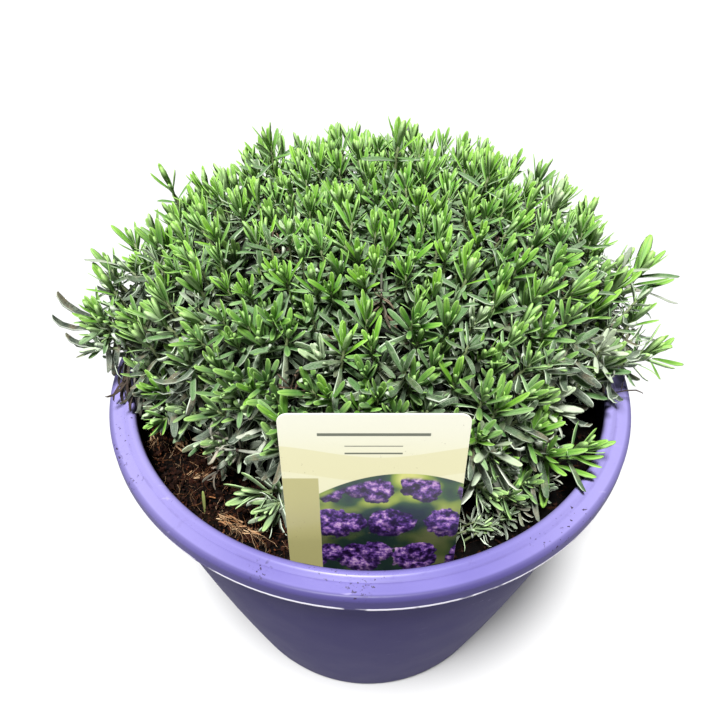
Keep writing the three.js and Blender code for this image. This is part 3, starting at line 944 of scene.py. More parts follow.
def build_litter(finish):
    crumbs, chips, fibres = chip_forms()
    everywhere = on_ring(70, 118)
    bare = on_ring(80, 118, 186, 258)
    # Each heap: forms, how many, where, the ranges of their size, paleness and height, and how far they tilt.
    heaps = [
        (crumbs, 700, everywhere, (0.4, 1.6), (0.0, 0.45), (0.2, 1.4), 1.0),
        (crumbs, 500, bare, (0.8, 2.2), (0.0, 0.4), (0.4, 2.2), 1.0),
        (crumbs, 900, bare, (0.25, 0.9), (0.1, 0.75), (0.8, 3.2), 1.0),
        (chips, 22, everywhere, (0.3, 0.8), (0.25, 0.8), (0.6, 1.8), 0.35),
        (chips, 14, bare, (0.25, 0.7), (0.3, 0.9), (0.8, 2.2), 0.45),
        (fibres, 300, everywhere, (0.4, 1.1), (0.15, 0.85), (0.4, 2.0), 0.30),
        (fibres, 900, bare, (0.2, 0.8), (0.4, 1.0), (1.0, 4.0), 0.6),
    ]
    for x, y, spread, count, yaw, size in SPLINTERS:
        near = around(x, y, spread)
        heaps.append((chips, count, near, (size * 0.4, size), (0.85, 1.0), (2.4, 4.2), 0.35, yaw))
        heaps.append((fibres, 2 * count, near, (0.3, 0.8), (0.85, 1.0), (2.4, 4.2), 0.4, yaw))
    bits = [bit for heap in heaps for bit in scattered(*heap)]
    litter = join([bit for bit in bits if kept_clear(bit)], "soil_litter")
    wear(litter, finish)
    smooth(litter, 40)
    put_away(crumbs + chips + fibres)
    return litter


# Label


def label_y(z):
    return LABEL_Y_AT_RIM + (z - POT_HEIGHT) * math.tan(LABEL_LEAN)


def kept_clear(piece):
    """Whether a piece lies clear of the label; one that doesn't is removed."""
    x, y, z = world_points(piece).T
    near = (np.abs(x) < LABEL_WIDTH / 2 + 1) & (z < LABEL_TOP + 1) & (np.abs(y - label_y(z)) < 1.2)
    if near.any():
        bpy.data.objects.remove(piece)
        return False
    return True


def build_card(finish):
    bpy.ops.mesh.primitive_plane_add(size=1, rotation=(math.pi / 2, 0, 0))
    card = begin("card")
    height = LABEL_TOP - LABEL_FOOT
    bpy.ops.transform.resize(value=(LABEL_WIDTH * MM, 1, height * MM))
    bpy.ops.transform.translate(value=(0, 0, (LABEL_FOOT + height / 2 - POT_HEIGHT) * MM))
    pick(lambda p: p.z > 0.05)
    bpy.ops.mesh.bevel(offset=LABEL_CORNER * MM, segments=8, affect="VERTICES")
    # The foot draws in to the stake, which runs down to a point.
    z = (LABEL_FOOT - POT_HEIGHT) * MM
    width = LABEL_WIDTH
    pick(lambda p: p.z < z + 1e-6, "edges")
    for new_width, drop in ((STAKE_WIDTH, 9), (STAKE_WIDTH * 0.7, 24), (1.2, 12)):
        bpy.ops.mesh.extrude_edges_move(TRANSFORM_OT_translate={"value": (0, 0, -drop * MM)})
        bpy.ops.transform.resize(value=(new_width / width, 1, 1), center_override=(0, 0, 0))
        width = new_width
    bpy.ops.mesh.select_all(action="SELECT")
    turn(-LABEL_LEAN, "X", (0, 0, 0))
    bpy.ops.transform.translate(value=(0, LABEL_Y_AT_RIM * MM, POT_HEIGHT * MM))
    done()
    modify(card, "SOLIDIFY", thickness=LABEL_THICKNESS * MM, offset=0)
    modify(card, "BEVEL", width=0.18 * MM, segments=2, limit_method="ANGLE", angle_limit=math.radians(50))
    make_active(card)
    bpy.ops.object.mode_set(mode="EDIT")
    close_up()
    done()
    smooth(card, 12)
    wear(card, finish)
    return card


# Bush: its shape


def canopy_radius(azimuth, elevation):
    rows = np.array(CANOPY, float)
    side = float(np.interp(elevation, rows[:, 0], rows[:, 1]))
    front = float(np.interp(elevation, rows[:, 0], rows[:, 2]))
    share = clamped((-math.sin(azimuth) - 0.05) / 0.6)
    return side + (front - side) * share * share * (3 - 2 * share)


def direction(azimuth, elevation):
    e = math.radians(elevation)
    return Vector((math.cos(e) * math.cos(azimuth), math.cos(e) * math.sin(azimuth), math.sin(e)))


AXES = [
    direction((i + offset) / count * TURN, elevation)
    for elevation, count, offset in BRANCH_RINGS
    for i in range(count)
]


def reach_towards(towards):
    return canopy_radius(math.atan2(towards.y, towards.x), math.degrees(math.asin(towards.z)))


def core_centre(branch):
    return HEART + AXES[branch] * (reach_towards(AXES[branch]) - 23) * 0.74


def nearest_axis(towards):
    return max(range(len(AXES)), key=lambda i: AXES[i].dot(towards))


def shoot_size(elevation):
    """Shoots are smaller and denser towards the top of the bush."""
    return float(np.interp(elevation, (0, 28, 55), (1.12, 0.96, 0.78)))


def even_elevations():
    """Elevations in degrees, with the share of the shoots that stand below each."""
    steps = np.arange(LOWEST_SHOOT, 90.0, 1.0)
    crowd = [(canopy_radius(math.pi / 2, e) / shoot_size(e)) ** 2 * math.cos(math.radians(e)) for e in steps]
    total = np.cumsum(crowd)
    return steps + 1, total / total[-1]


ELEVATIONS, AREA_SHARES = even_elevations()


# Bush: leaves and sprigs

LEAF_SIDES = 5
# A leaf's outline: share of its length, and of its width
OUTLINE = ((0.0, 0.36), (0.22, 0.66), (0.52, 0.96), (0.76, 0.98), (0.93, 0.66), (1.0, 0.24))


def leaf_form(name, length, width, bends, roll=1.0, thickness=0.34):
    """A narrow blunt leaf along X with its upper side up, a groove down its middle and rolled margins.
    bends are how far it arches down at each step, in degrees."""
    half = width / 2 * MM
    leaf = disc(name, LEAF_SIDES, width / 2, rotation=(math.pi / 2, 0, math.pi / 2))
    bpy.ops.transform.resize(value=(1, 1, thickness))
    pick(lambda p: p.z > half * thickness * 0.8)
    bpy.ops.transform.translate(value=(0, 0, -half * thickness * 0.95))
    pick(lambda p: p.z > half * thickness * 0.2)
    bpy.ops.transform.resize(value=(1, 0.60, 1), center_override=(0, 0, 0))
    pick(lambda p: p.z < -half * thickness * 0.5)
    bpy.ops.transform.resize(value=(1, 1.7, 0.45 * roll), center_override=(0, 0, 0))
    bpy.ops.mesh.select_all(action="SELECT")
    bpy.ops.transform.resize(value=(OUTLINE[0][1],) * 3, center_override=(0, 0, 0))
    here, pitch = Vector(), 0.0
    for (start, old), (end, new), bend in zip(OUTLINE, OUTLINE[1:], bends):
        step = Vector((math.cos(pitch), 0, -math.sin(pitch))) * (end - start) * length * MM
        pull(*step)
        here = here + step
        turn(math.radians(bend), "Y", here)
        pitch += math.radians(bend)
        bpy.ops.transform.resize(value=(new / old,) * 3, center_override=here)
    face_outwards()
    done()
    # The rings of points follow each other, each with the groove, the upper lobes and the margins.
    ring, point = np.divmod(np.arange(len(leaf.data.vertices)), LEAF_SIDES)
    first = points_of(leaf.data)[:LEAF_SIDES]
    across = np.abs(first[:, 1]) / np.abs(first[:, 1]).max()
    along = np.array([OUTLINE[i][0] for i in ring])
    mark(leaf.data, "blade", np.stack([along, across[point], np.zeros(len(ring))], axis=1))
    smooth(leaf)
    return leaf


def stalk_form(name, low, high, thick, thin):
    """A thin stalk from below the leaves up to the bud."""
    disc(name, 5, thick, location=(0, 0, low * MM))
    scale = (thin / thick) ** (1 / 3)
    for _ in range(3):
        pull(0, 0, (high - low) / 3 * MM)
        bpy.ops.transform.resize(value=(scale, scale, 1))
    face_outwards()
    stalk = done()
    smooth(stalk)
    return stalk


def sprig_form(name, forms, whorls, foot, seed, finishes, dryness):
    """A shoot along Z whose leaves stand in crossed pairs. Each whorl is a height in millimetres, a lean from
    the stalk in degrees, a leaf form, a size and an age."""
    chance = random.Random(seed)
    leaf_look, stalk_look = finishes
    top = max(w[0] for w in whorls)
    stalk = stalk_form(f"{name}_stalk", foot, top + 0.5, 1.15, 0.7)
    wear(stalk, stalk_look)
    mark(stalk.data, "tone", (0.55, chance.random(), dryness))
    pieces = [stalk]
    spin = chance.uniform(0, TURN)
    for height, lean, kind, size, age in whorls:
        spin += math.pi / 2 + chance.gauss(0, 0.14)
        for side in (0, math.pi):
            lean_here = math.radians(lean + chance.gauss(0, 5 + 9 * age + 10 * dryness))
            scale = size * chance.uniform(0.86 - 0.3 * dryness, 1.12)
            place = (
                Matrix.Translation((0, 0, (height + chance.uniform(-0.7, 0.7)) * MM))
                @ Matrix.Rotation(spin + side + chance.gauss(0, 0.12 + 0.2 * age + 0.3 * dryness), 4, "Z")
                @ Matrix.Rotation(-(math.pi / 2 - lean_here), 4, "Y")
                @ Matrix.Rotation(chance.gauss(0, 0.2 + 0.2 * age), 4, "X")
                @ Matrix.Diagonal((scale, scale * chance.uniform(0.9, 1.1), scale, 1))
            )
            leaf = copy_of(chance.choice(forms[kind]), place)
            wear(leaf, leaf_look)
            mark(leaf.data, "tone", (clamped(age + chance.gauss(0, 0.07)), chance.random(), dryness))
            pieces.append(leaf)
    return join(pieces, name)


# Leaves of each age: length, width and how far they arch down at each step, then roll and thickness
LEAVES = {
    "bud": (
        (10, 2.2, (3, 1, -3, -4, -4)),
        (9, 2.1, (5, 2, 0, -5, -4)),
    ),
    "young": (
        (15.5, 3.0, (4, 0, -3, -5, -4)),
        (17, 3.1, (3, 4, 2, -2, -3)),
        (14.5, 2.9, (6, -2, -5, -7, -3)),
    ),
    "spread": (
        (15.5, 3.2, (4, 6, 6, 2, 2)),
        (14.5, 3.1, (-4, 4, 10, 8, 4)),
        (16.5, 3.2, (8, 5, -4, -8, -6)),
    ),
    "grown": (
        (18.5, 3.5, (8, 8, 2, -8, -8), 1.3),
        (17, 3.3, (12, 4, -10, -14, -10), 1.2),
        (18.5, 3.5, (3, 9, 12, 10, 6), 1.3),
    ),
    "old": (
        (20, 3.3, (14, 0, -18, -26, -22), 1.6, 0.42),
        (18, 3.1, (12, 22, 24, 14, 8), 1.8, 0.42),
        (19, 3.2, (18, -6, -26, -32, -26), 1.5, 0.40),
        (20, 3.5, (2, -20, -34, -34, -20), 1.6, 0.42),
        (18, 3.1, (4, -14, -24, -26, -18), 1.5, 0.42),
    ),
    "dry": (
        (14, 1.5, (22, 26, 24, 20, 12), 1.8, 0.42),
        (12, 1.4, (-10, 14, 34, 30, 20), 1.8, 0.42),
        (13, 1.6, (-12, -20, -26, -18, -10), 1.6, 0.42),
    ),
}


def leaf_forms():
    return {
        kind: [leaf_form(f"leaf_{kind}_{i}", *leaf) for i, leaf in enumerate(leaves)]
        for kind, leaves in LEAVES.items()
    }


# Whorls of each kind of shoot: height, lean, leaf form, size, age
TUFT = (
    (-11, 104, "old", 1.0, 1.0),
    (-7, 92, "old", 1.0, 0.92),
    (-4, 80, "grown", 0.95, 0.74),
    (-1.8, 62, "spread", 0.86, 0.40),
    (0.0, 36, "young", 0.95, 0.22),
    (1.4, 24, "young", 1.0, 0.14),
    (2.8, 17, "young", 0.98, 0.08),
    (4.2, 10, "young", 0.86, 0.04),
    (5.6, 5, "bud", 0.95, 0.0),
)
CLOSED_TUFT = (
    (-9, 98, "old", 1.0, 1.0),
    (-5.5, 86, "old", 0.9, 0.86),
    (-2.8, 60, "grown", 0.8, 0.5),
    (-0.8, 30, "young", 0.95, 0.24),
    (0.8, 19, "young", 1.05, 0.14),
    (2.2, 13, "young", 1.02, 0.08),
    (3.6, 8, "young", 0.9, 0.04),
    (5.2, 4, "bud", 1.0, 0.0),
)
OPEN_TUFT = (
    (-12, 112, "old", 1.1, 1.0),
    (-8, 98, "old", 1.1, 0.95),
    (-5, 88, "old", 1.0, 0.84),
    (-2.4, 74, "grown", 0.9, 0.55),
    (-0.4, 50, "spread", 0.95, 0.28),
    (1.2, 32, "young", 1.0, 0.15),
    (2.8, 20, "young", 1.0, 0.08),
    (4.2, 12, "young", 0.9, 0.04),
    (5.6, 6, "bud", 1.0, 0.0),
)
TIP = (
    (-3.0, 72, "grown", 0.85, 0.6),
    (-1.4, 54, "spread", 0.9, 0.36),
    (0.0, 38, "young", 0.95, 0.2),
    (1.4, 26, "young", 1.0, 0.12),
    (2.8, 17, "young", 0.95, 0.08),
    (4.2, 9, "young", 0.8, 0.04),
    (5.4, 4, "bud", 0.9, 0.0),
)
LONG_TUFT = (
    (-22, 92, "old", 0.9, 1.0),
    (-15, 86, "grown", 0.95, 0.85),
    (-9, 76, "grown", 0.95, 0.65),
    (-4, 58, "spread", 1.0, 0.40),
    (0, 38, "young", 1.05, 0.22),
    (2.4, 24, "young", 1.1, 0.12),
    (4.6, 14, "young", 1.1, 0.05),
    (6.6, 6, "bud", 1.1, 0.0),
)
OLD_TUFT = (
    (-11, 112, "old", 1.0, 1.0),
    (-7, 98, "old", 1.0, 0.97),
    (-3.5, 84, "old", 0.98, 0.92),
    (-1, 66, "old", 0.9, 0.88),
    (1.5, 46, "grown", 0.8, 0.78),
    (3.5, 28, "grown", 0.7, 0.68),
    (5, 14, "spread", 0.65, 0.55),
)
DRY_TUFT = (
    (-9, 124, "dry", 1.1, 1.0),
    (-5, 100, "dry", 1.0, 1.0),
    (-2, 70, "dry", 1.1, 1.0),
    (1, 46, "dry", 1.0, 1.0),
    (3, 24, "dry", 1.0, 1.0),
    (4, 12, "dry", 0.8, 1.0),
)


# Shoots: their whorls, where the stalk's foot is, how dry they are, the first seed and how many forms
SHOOT_KINDS = {
    "tuft": (TUFT, -22, 0.0, 100, 5),
    "closed": (CLOSED_TUFT, -20, 0.0, 200, 3),
    "open": (OPEN_TUFT, -22, 0.0, 300, 3),
    "tip": (TIP, -12, 0.0, 700, 3),
    "long": (LONG_TUFT, -34, 0.0, 400, 2),
    "old": (OLD_TUFT, -24, 0.0, 500, 4),
    "dry": (DRY_TUFT, -16, 1.0, 600, 2),
}


def sprig_forms(forms, finishes):
    sprigs = {}
    for kind, (whorls, foot, dryness, seed, count) in SHOOT_KINDS.items():
        sprigs[kind] = [
            sprig_form(f"{kind}_{i}", forms, whorls, foot, seed + i, finishes, dryness) for i in range(count)
        ]
    return sprigs


# Bush: where the sprigs stand

# Shoots that stand out of the bush or fill its edge: kind, root, heading, size and look, which is chance,
# depth and paleness
STRAYS = (
    ("open", (-129, -9, 229), (-0.35, -0.1, 0.9), 1.1, (0.3, 0.0, 0.0)),
    ("tip", (-127, -14, 235), (-0.2, 0.0, 0.95), 0.95, (0.2, 0.0, 0.0)),
    ("tuft", (-122, -4, 244), (-0.35, 0.0, 0.9), 1.0, (0.3, 0.0, 0.0)),
    ("old", (-124, -18, 222), (-0.8, -0.2, 0.2), 1.1, (0.9, 0.2, 0.0)),
    ("tuft", (-116, 22, 250), (-0.2, 0.1, 0.95), 0.95, (0.3, 0.0, 0.0)),
    ("tuft", (-124, 6, 246), (-0.2, 0.1, 0.95), 0.95, (0.5, 0.0, 0.0)),
    ("old", (-120, 4, 240), (-0.5, 0.0, 0.7), 1.0, (0.5, 0.1, 0.0)),
    ("old", (-116, -9, 234), (-0.5, -0.2, 0.6), 1.1, (0.5, 0.1, 0.0)),
    ("tuft", (-113, -16, 230), (-0.3, -0.2, 0.9), 1.05, (0.6, 0.0, 0.0)),
    ("old", (-118, 8, 230), (-0.7, 0.1, 0.4), 1.1, (0.4, 0.2, 0.0)),
    ("old", (-122, -12, 224), (-0.2, -0.3, 0.9), 1.05, (0.4, 0.1, 0.0)),
    ("tip", (-126, -13, 226), (-0.5, -0.3, 0.7), 1.0, (0.6, 0.0, 0.0)),
    ("old", (-126, -3, 226), (-0.6, 0.0, 0.6), 1.1, (0.6, 0.1, 0.0)),
    ("long", (-98, 42, 271), (-0.3, 0.1, 0.95), 0.8, (0.4, 0.0, 0.0)),
    ("tuft", (-48, 46, 290), (-0.1, 0.1, 0.98), 0.9, (0.3, 0.0, 0.0)),
    ("tuft", (12, 30, 300), (0.1, 0.1, 1.0), 0.95, (0.2, 0.0, 0.0)),
    ("tuft", (54, 24, 288), (0.2, 0.1, 0.98), 0.9, (0.2, 0.0, 0.0)),
    ("long", (131, 12, 238), (0.35, 0.1, 0.9), 1.15, (0.1, 0.0, 0.0)),
    ("tuft", (104, 26, 254), (0.2, 0.0, 0.95), 1.0, (0.2, 0.0, 0.0)),
    ("tip", (128, -22, 219), (0.7, -0.05, 0.6), 1.1, (0.1, 0.0, 0.0)),
    ("old", (122, -18, 224), (0.6, -0.1, 0.6), 1.0, (0.6, 0.1, 0.0)),
    ("old", (118, -28, 220), (0.5, -0.4, 0.6), 0.95, (0.5, 0.15, 0.0)),
    ("old", (124, -22, 216), (0.7, -0.2, 0.4), 0.95, (0.4, 0.1, 0.0)),
    ("tuft", (128, -6, 226), (0.3, 0.0, 0.9), 1.0, (0.2, 0.0, 0.0)),
    ("open", (101, -40, 238), (0.15, -0.4, 0.8), 0.95, (0.5, 0.0, 0.7)),
    ("tuft", (100, -24, 246), (0.1, -0.1, 0.95), 1.1, (0.1, 0.0, 0.0)),
    ("open", (76, -58, 225), (0.1, -0.45, 0.8), 1.1, (0.5, 0.0, 0.7)),
    ("old", (80, -54, 216), (0.7, -0.4, 0.2), 0.9, (0.5, 0.0, 0.6)),
    ("tip", (77, -71, 204), (0.1, -0.45, 0.85), 1.2, (0.1, 0.0, 0.0)),
    ("tip", (90, -69, 203), (0.5, -0.2, 0.8), 1.15, (0.1, 0.0, 0.0)),
    ("old", (74, -66, 202), (0.1, -0.3, 0.8), 0.9, (0.6, 0.1, 0.0)),
    ("tip", (51, -80, 214), (0.4, -0.35, 0.85), 0.9, (0.2, 0.0, 0.0)),
    ("old", (52, -79, 209), (0.5, -0.6, 0.3), 0.9, (0.5, 0.0, 0.25)),
    ("tip", (46, -84, 200), (0.55, -0.65, 0.45), 1.05, (0.4, 0.0, 0.1)),
    ("old", (45, -84, 195), (0.45, -0.7, 0.2), 0.85, (0.4, 0.0, 0.35)),
    ("tip", (58, -86, 194), (0.3, -0.5, 0.75), 0.85, (0.4, 0.1, 0.0)),
    ("old", (60, -84, 189), (0.6, -0.5, 0.5), 0.8, (0.5, 0.15, 0.1)),
    ("old", (74, -76, 190), (0.5, -0.5, 0.5), 0.8, (0.4, 0.2, 0.1)),
    ("tip", (67, -80, 196), (0.2, -0.5, 0.75), 0.8, (0.6, 0.2, 0.0)),
    ("long", (44, -96, 184), (0.9, 0.1, 0.3), 0.55, (0.5, 0.2, 0.1)),
    ("long", (56, -92, 185), (0.85, 0.4, 0.3), 0.5, (0.5, 0.2, 0.1)),
    ("old", (44, -94, 186), (0.5, -0.2, 0.7), 0.55, (0.6, 0.2, 0.2)),
    ("old", (52, -94, 183), (0.4, -0.2, 0.7), 0.5, (0.4, 0.2, 0.25)),
    ("old", (60, -90, 184), (0.3, -0.1, 0.8), 0.55, (0.7, 0.2, 0.1)),
    ("old", (68, -84, 184), (0.4, -0.2, 0.8), 0.55, (0.7, 0.3, 0.1)),
    ("old", (78, -72, 186), (0.4, -0.2, 0.8), 0.6, (0.5, 0.3, 0.1)),
    ("dry", (82, -72, 189), (0.7, -0.5, 0.5), 0.6, (0.9, 0.0, 0.8)),
    ("open", (40, -76, 214), (0.2, -0.5, 0.8), 1.0, (0.3, 0.0, 0.0)),
    ("tuft", (-97, -36, 207), (-0.35, -0.3, 0.85), 1.15, (0.1, 0.0, 0.0)),
    ("tip", (-98, -44, 200), (-0.55, -0.6, 0.3), 0.8, (0.2, 0.1, 0.0)),
    ("old", (-98, -34, 198), (-0.7, -0.6, 0.2), 1.1, (0.8, 0.15, 0.0)),
    ("old", (-76, -52, 196), (-0.4, -0.8, 0.3), 1.1, (0.6, 0.2, 0.0)),
    ("open", (-84, -46, 206), (-0.2, -0.6, 0.7), 1.0, (0.7, 0.1, 0.15)),
    ("old", (-58, -62, 200), (-0.3, -0.8, 0.5), 1.1, (0.8, 0.15, 0.3)),
    ("tip", (-64, -64, 206), (-0.3, -0.6, 0.7), 1.0, (0.7, 0.1, 0.1)),
    ("dry", (-68, -66, 210), (-0.2, -0.6, 0.7), 1.15, (0.9, 0.0, 0.45)),
    ("dry", (-58, -72, 210), (-0.2, -0.6, 0.7), 1.15, (0.6, 0.0, 0.5)),
    ("dry", (-70, -64, 188), (-0.4, -0.7, 0.2), 0.9, (0.3, 0.2, 0.1)),
    ("tuft", (-46, -82, 193), (-0.75, -0.5, 0.4), 1.1, (0.5, 0.0, 0.15)),
    ("tuft", (-40, -84, 189), (-0.5, -0.7, 0.4), 1.0, (0.5, 0.0, 0.15)),
    ("old", (-42, -86, 184), (-0.4, -0.8, 0.15), 1.0, (0.8, 0.1, 0.3)),
    ("dry", (-32, -78, 255), (-0.1, -0.5, 0.85), 0.75, (0.2, 0.0, 0.0)),
    ("dry", (3, -61, 287), (0.0, -0.4, 0.9), 0.7, (0.5, 0.0, 0.1)),
)

# Single leaves and twigs: kind of leaf and its number, root, tip, width, tone and look; the tone is age,
# chance and dryness
DARK, DEAD, FRESH = (1.0, 0.1, 0.0), (1.0, 0.1, 1.0), (0.1, 0.3, 0.0)
PLAIN = (0.2, 0.0, 0.0)
LONE_LEAVES = (
    ("old", 3, (-131, -7, 230), (-155, 5, 231), 0.8, DARK, PLAIN),
    ("old", 3, (-132, -10, 228), (-155, -6, 226), 0.85, DARK, PLAIN),
    ("old", 3, (-131, -19, 224), (-148, -13, 222), 0.95, DARK, PLAIN),
    ("old", 0, (-128, -12, 229), (-130, -24, 211), 0.9, DARK, (0.5, 0.0, 0.2)),
    ("grown", 0, (-118, -2, 260), (-134, 1, 264), 0.6, (0.8, 0.5, 0.0), (0.5, 0.0, 0.4)),
    ("young", 0, (131, 12, 241), (141, 29, 257), 1.1, FRESH, PLAIN),
    ("young", 1, (132, 12, 241), (147, 22, 253), 0.8, FRESH, PLAIN),
    ("grown", 0, (133, 13, 242), (155, 15, 245), 0.9, (0.6, 0.5, 0.0), PLAIN),
    ("young", 0, (136, 8, 238), (151, 11, 243), 0.9, FRESH, PLAIN),
    ("grown", 1, (136, 9, 236), (156, 7, 233), 0.45, (0.8, 0.5, 0.0), (0.5, 0.0, 0.5)),
    ("young", 2, (137, -22, 219), (154, -21, 215), 1.1, FRESH, PLAIN),
    ("young", 0, (135, -23, 221), (148, -14, 226), 1.0, FRESH, PLAIN),
    ("young", 0, (136, -22, 218), (143, -26, 209), 1.1, FRESH, PLAIN),
    ("young", 1, (79, -72, 202), (77, -88, 189), 1.3, FRESH, PLAIN),
    ("young", 0, (76, -70, 204), (64, -82, 197), 1.2, FRESH, PLAIN),
    ("young", 2, (85, -70, 202), (105, -70, 204), 0.75, FRESH, PLAIN),
    ("young", 0, (83, -72, 200), (101, -78, 199), 0.95, FRESH, PLAIN),
    ("old", 0, (71, -80, 199), (75, -94, 187), 1.0, DARK, (0.5, 0.1, 0.1)),
    ("grown", 0, (51, -78, 212), (62, -90, 202), 1.0, (0.8, 0.9, 0.0), (0.5, 0.0, 0.2)),
    ("grown", 0, (50, -79, 212), (42, -86, 208), 1.0, (0.9, 0.9, 0.0), (0.5, 0.0, 0.3)),
    ("bud", 0, (-78, -80, 172), (-78, -76, 185), 0.6, (0.0, 1.0, 0.55), (0.0, 0.15, 0.0)),
    ("dry", 0, (-123, -15, 211), (-132, -23, 197), 0.9, DEAD, PLAIN),
    ("dry", 1, (-120, -20, 208), (-129, -30, 198), 0.8, DEAD, PLAIN),
    ("dry", 2, (-118, -22, 209), (-126, -32, 200), 0.8, DEAD, PLAIN),
    ("dry", 0, (-120, -22, 210), (-121, -35, 197), 0.8, DEAD, PLAIN),
    ("dry", 1, (-116, -24, 207), (-118, -38, 199), 0.8, DEAD, PLAIN),
    ("old", 3, (-114, -24, 209), (-120, -38, 202), 0.6, (1.0, 0.0, 0.5), (0.5, 0.3, 0.0)),
    ("old", 3, (-112, -26, 208), (-112, -42, 200), 0.6, (1.0, 0.0, 0.4), (0.5, 0.3, 0.1)),
    ("dry", 1, (-122, -17, 210), (-124, -31, 197), 0.8, DEAD, PLAIN),
    ("dry", 2, (-122, -17, 209), (-119, -28, 197), 0.8, DEAD, PLAIN),
    ("dry", 0, (-119, -20, 206), (-127, -27, 198), 0.8, DEAD, (0.5, 0.0, 0.2)),
    ("dry", 1, (-118, -20, 208), (-115, -34, 189), 0.8, DEAD, (0.5, 0.0, 0.2)),
    ("dry", 2, (-116, -20, 206), (-113, -31, 192), 0.8, DEAD, PLAIN),
    ("dry", 0, (-116, -18, 206), (-108, -34, 194), 0.8, DEAD, (0.5, 0.0, 0.4)),
    ("dry", 1, (119, -24, 197), (135, -28, 203), 0.35, DEAD, PLAIN),
    ("dry", 2, (129, -17, 205), (126, -24, 198), 0.35, DEAD, PLAIN),
    ("dry", 0, (114, -20, 208), (113, -27, 194), 0.9, DEAD, (0.5, 0.0, 0.2)),
    ("dry", 1, (117, -18, 207), (117, -27, 196), 0.8, (1.0, 0.8, 1.0), (0.5, 0.0, 0.2)),
    ("dry", 2, (111, -22, 206), (107, -30, 195), 0.8, (1.0, 0.8, 1.0), PLAIN),
)


def holder_clear(points, sunk):
    """Whether points stay off the planter and the label, and no deeper than sunk in the soil."""
    x, y, z = points.T
    radius = np.hypot(x, y)
    beside_soil = np.where(radius < RIM_RADIUS + 2, POT_HEIGHT + 0.6, POT_HEIGHT - 8)
    floor = np.where(radius < LIP_RADIUS - 1, SOIL_LEVEL + 2 - sunk, beside_soil)
    off_label = (np.abs(x) > LABEL_WIDTH / 2 + 1.5) | (z > LABEL_TOP + 1) | (y > label_y(z) + 1.6)
    return bool((z > floor).all() and off_label.all())


def heading_of(root, towards, branch):
    away = (root - core_centre(branch)).normalized()
    return (away * 0.15 + towards * 0.35 + UP * 0.9).normalized()


def stand(form, root, heading, spin, size):
    """A copy of a sprig whose stalk points along heading from its root."""
    turned = heading.to_track_quat("Z", "Y").to_matrix().to_4x4() @ Matrix.Rotation(spin, 4, "Z")
    return copy_of(form, Matrix.Translation(root * MM) @ turned @ Matrix.Scale(size, 4))


def planted(form, towards, radius, heading, size, look, sunk=0):
    """Sets a sprig at a radius towards a direction, drawn in until it clears the planter and the label."""
    spin = draw.uniform(0, TURN)
    for step in (0, 3, 6, 9, 13, 17, 22):
        root = HEART + towards * (radius - step)
        sprig = stand(form, root, (heading + UP * step * 0.03).normalized(), spin, size)
        if holder_clear(world_points(sprig), sunk):
            mark(sprig.data, "shoot", look)
            return sprig
        bpy.data.objects.remove(sprig)
    return None


def lone_leaf(form, finish, root, tip, width, tone, look):
    """One leaf between two points in millimetres, with its upper side up."""
    along = Vector(tip) - Vector(root)
    ahead = along.normalized()
    side = UP.cross(ahead).normalized()
    turned = Matrix((ahead, side, ahead.cross(side))).transposed().to_4x4()
    scale = along.length * MM / points_of(form.data)[:, 0].max()
    sized = Matrix.Diagonal((scale, scale * width, scale, 1))
    leaf = copy_of(form, Matrix.Translation(Vector(root) * MM) @ turned @ sized)
    wear(leaf, finish)
    mark(leaf.data, "tone", tone)
    mark(leaf.data, "shoot", look)
    return leaf


def wobble(heading, amount):
    return (heading + Vector([draw.gauss(0, amount) for _ in range(3)])).normalized()


# Bare soil beside the bush: its azimuth, how far it spreads to each side, and its weight
BARE_SOIL = ((226, 32, 1.0), (352, 20, 0.5))
BARE_DEPTH = 26


def bare_ground(azimuth, elevation):
    """How far in millimetres the low leaves stand back from the bare soil."""
    degrees = math.degrees(azimuth) % 360
    bare = max(max(0.0, 1 - abs(degrees - middle) / spread) * weight for middle, spread, weight in BARE_SOIL)
    low = clamped((14 - elevation) / 14)
    return BARE_DEPTH * low * min(1.6 * bare, 1)


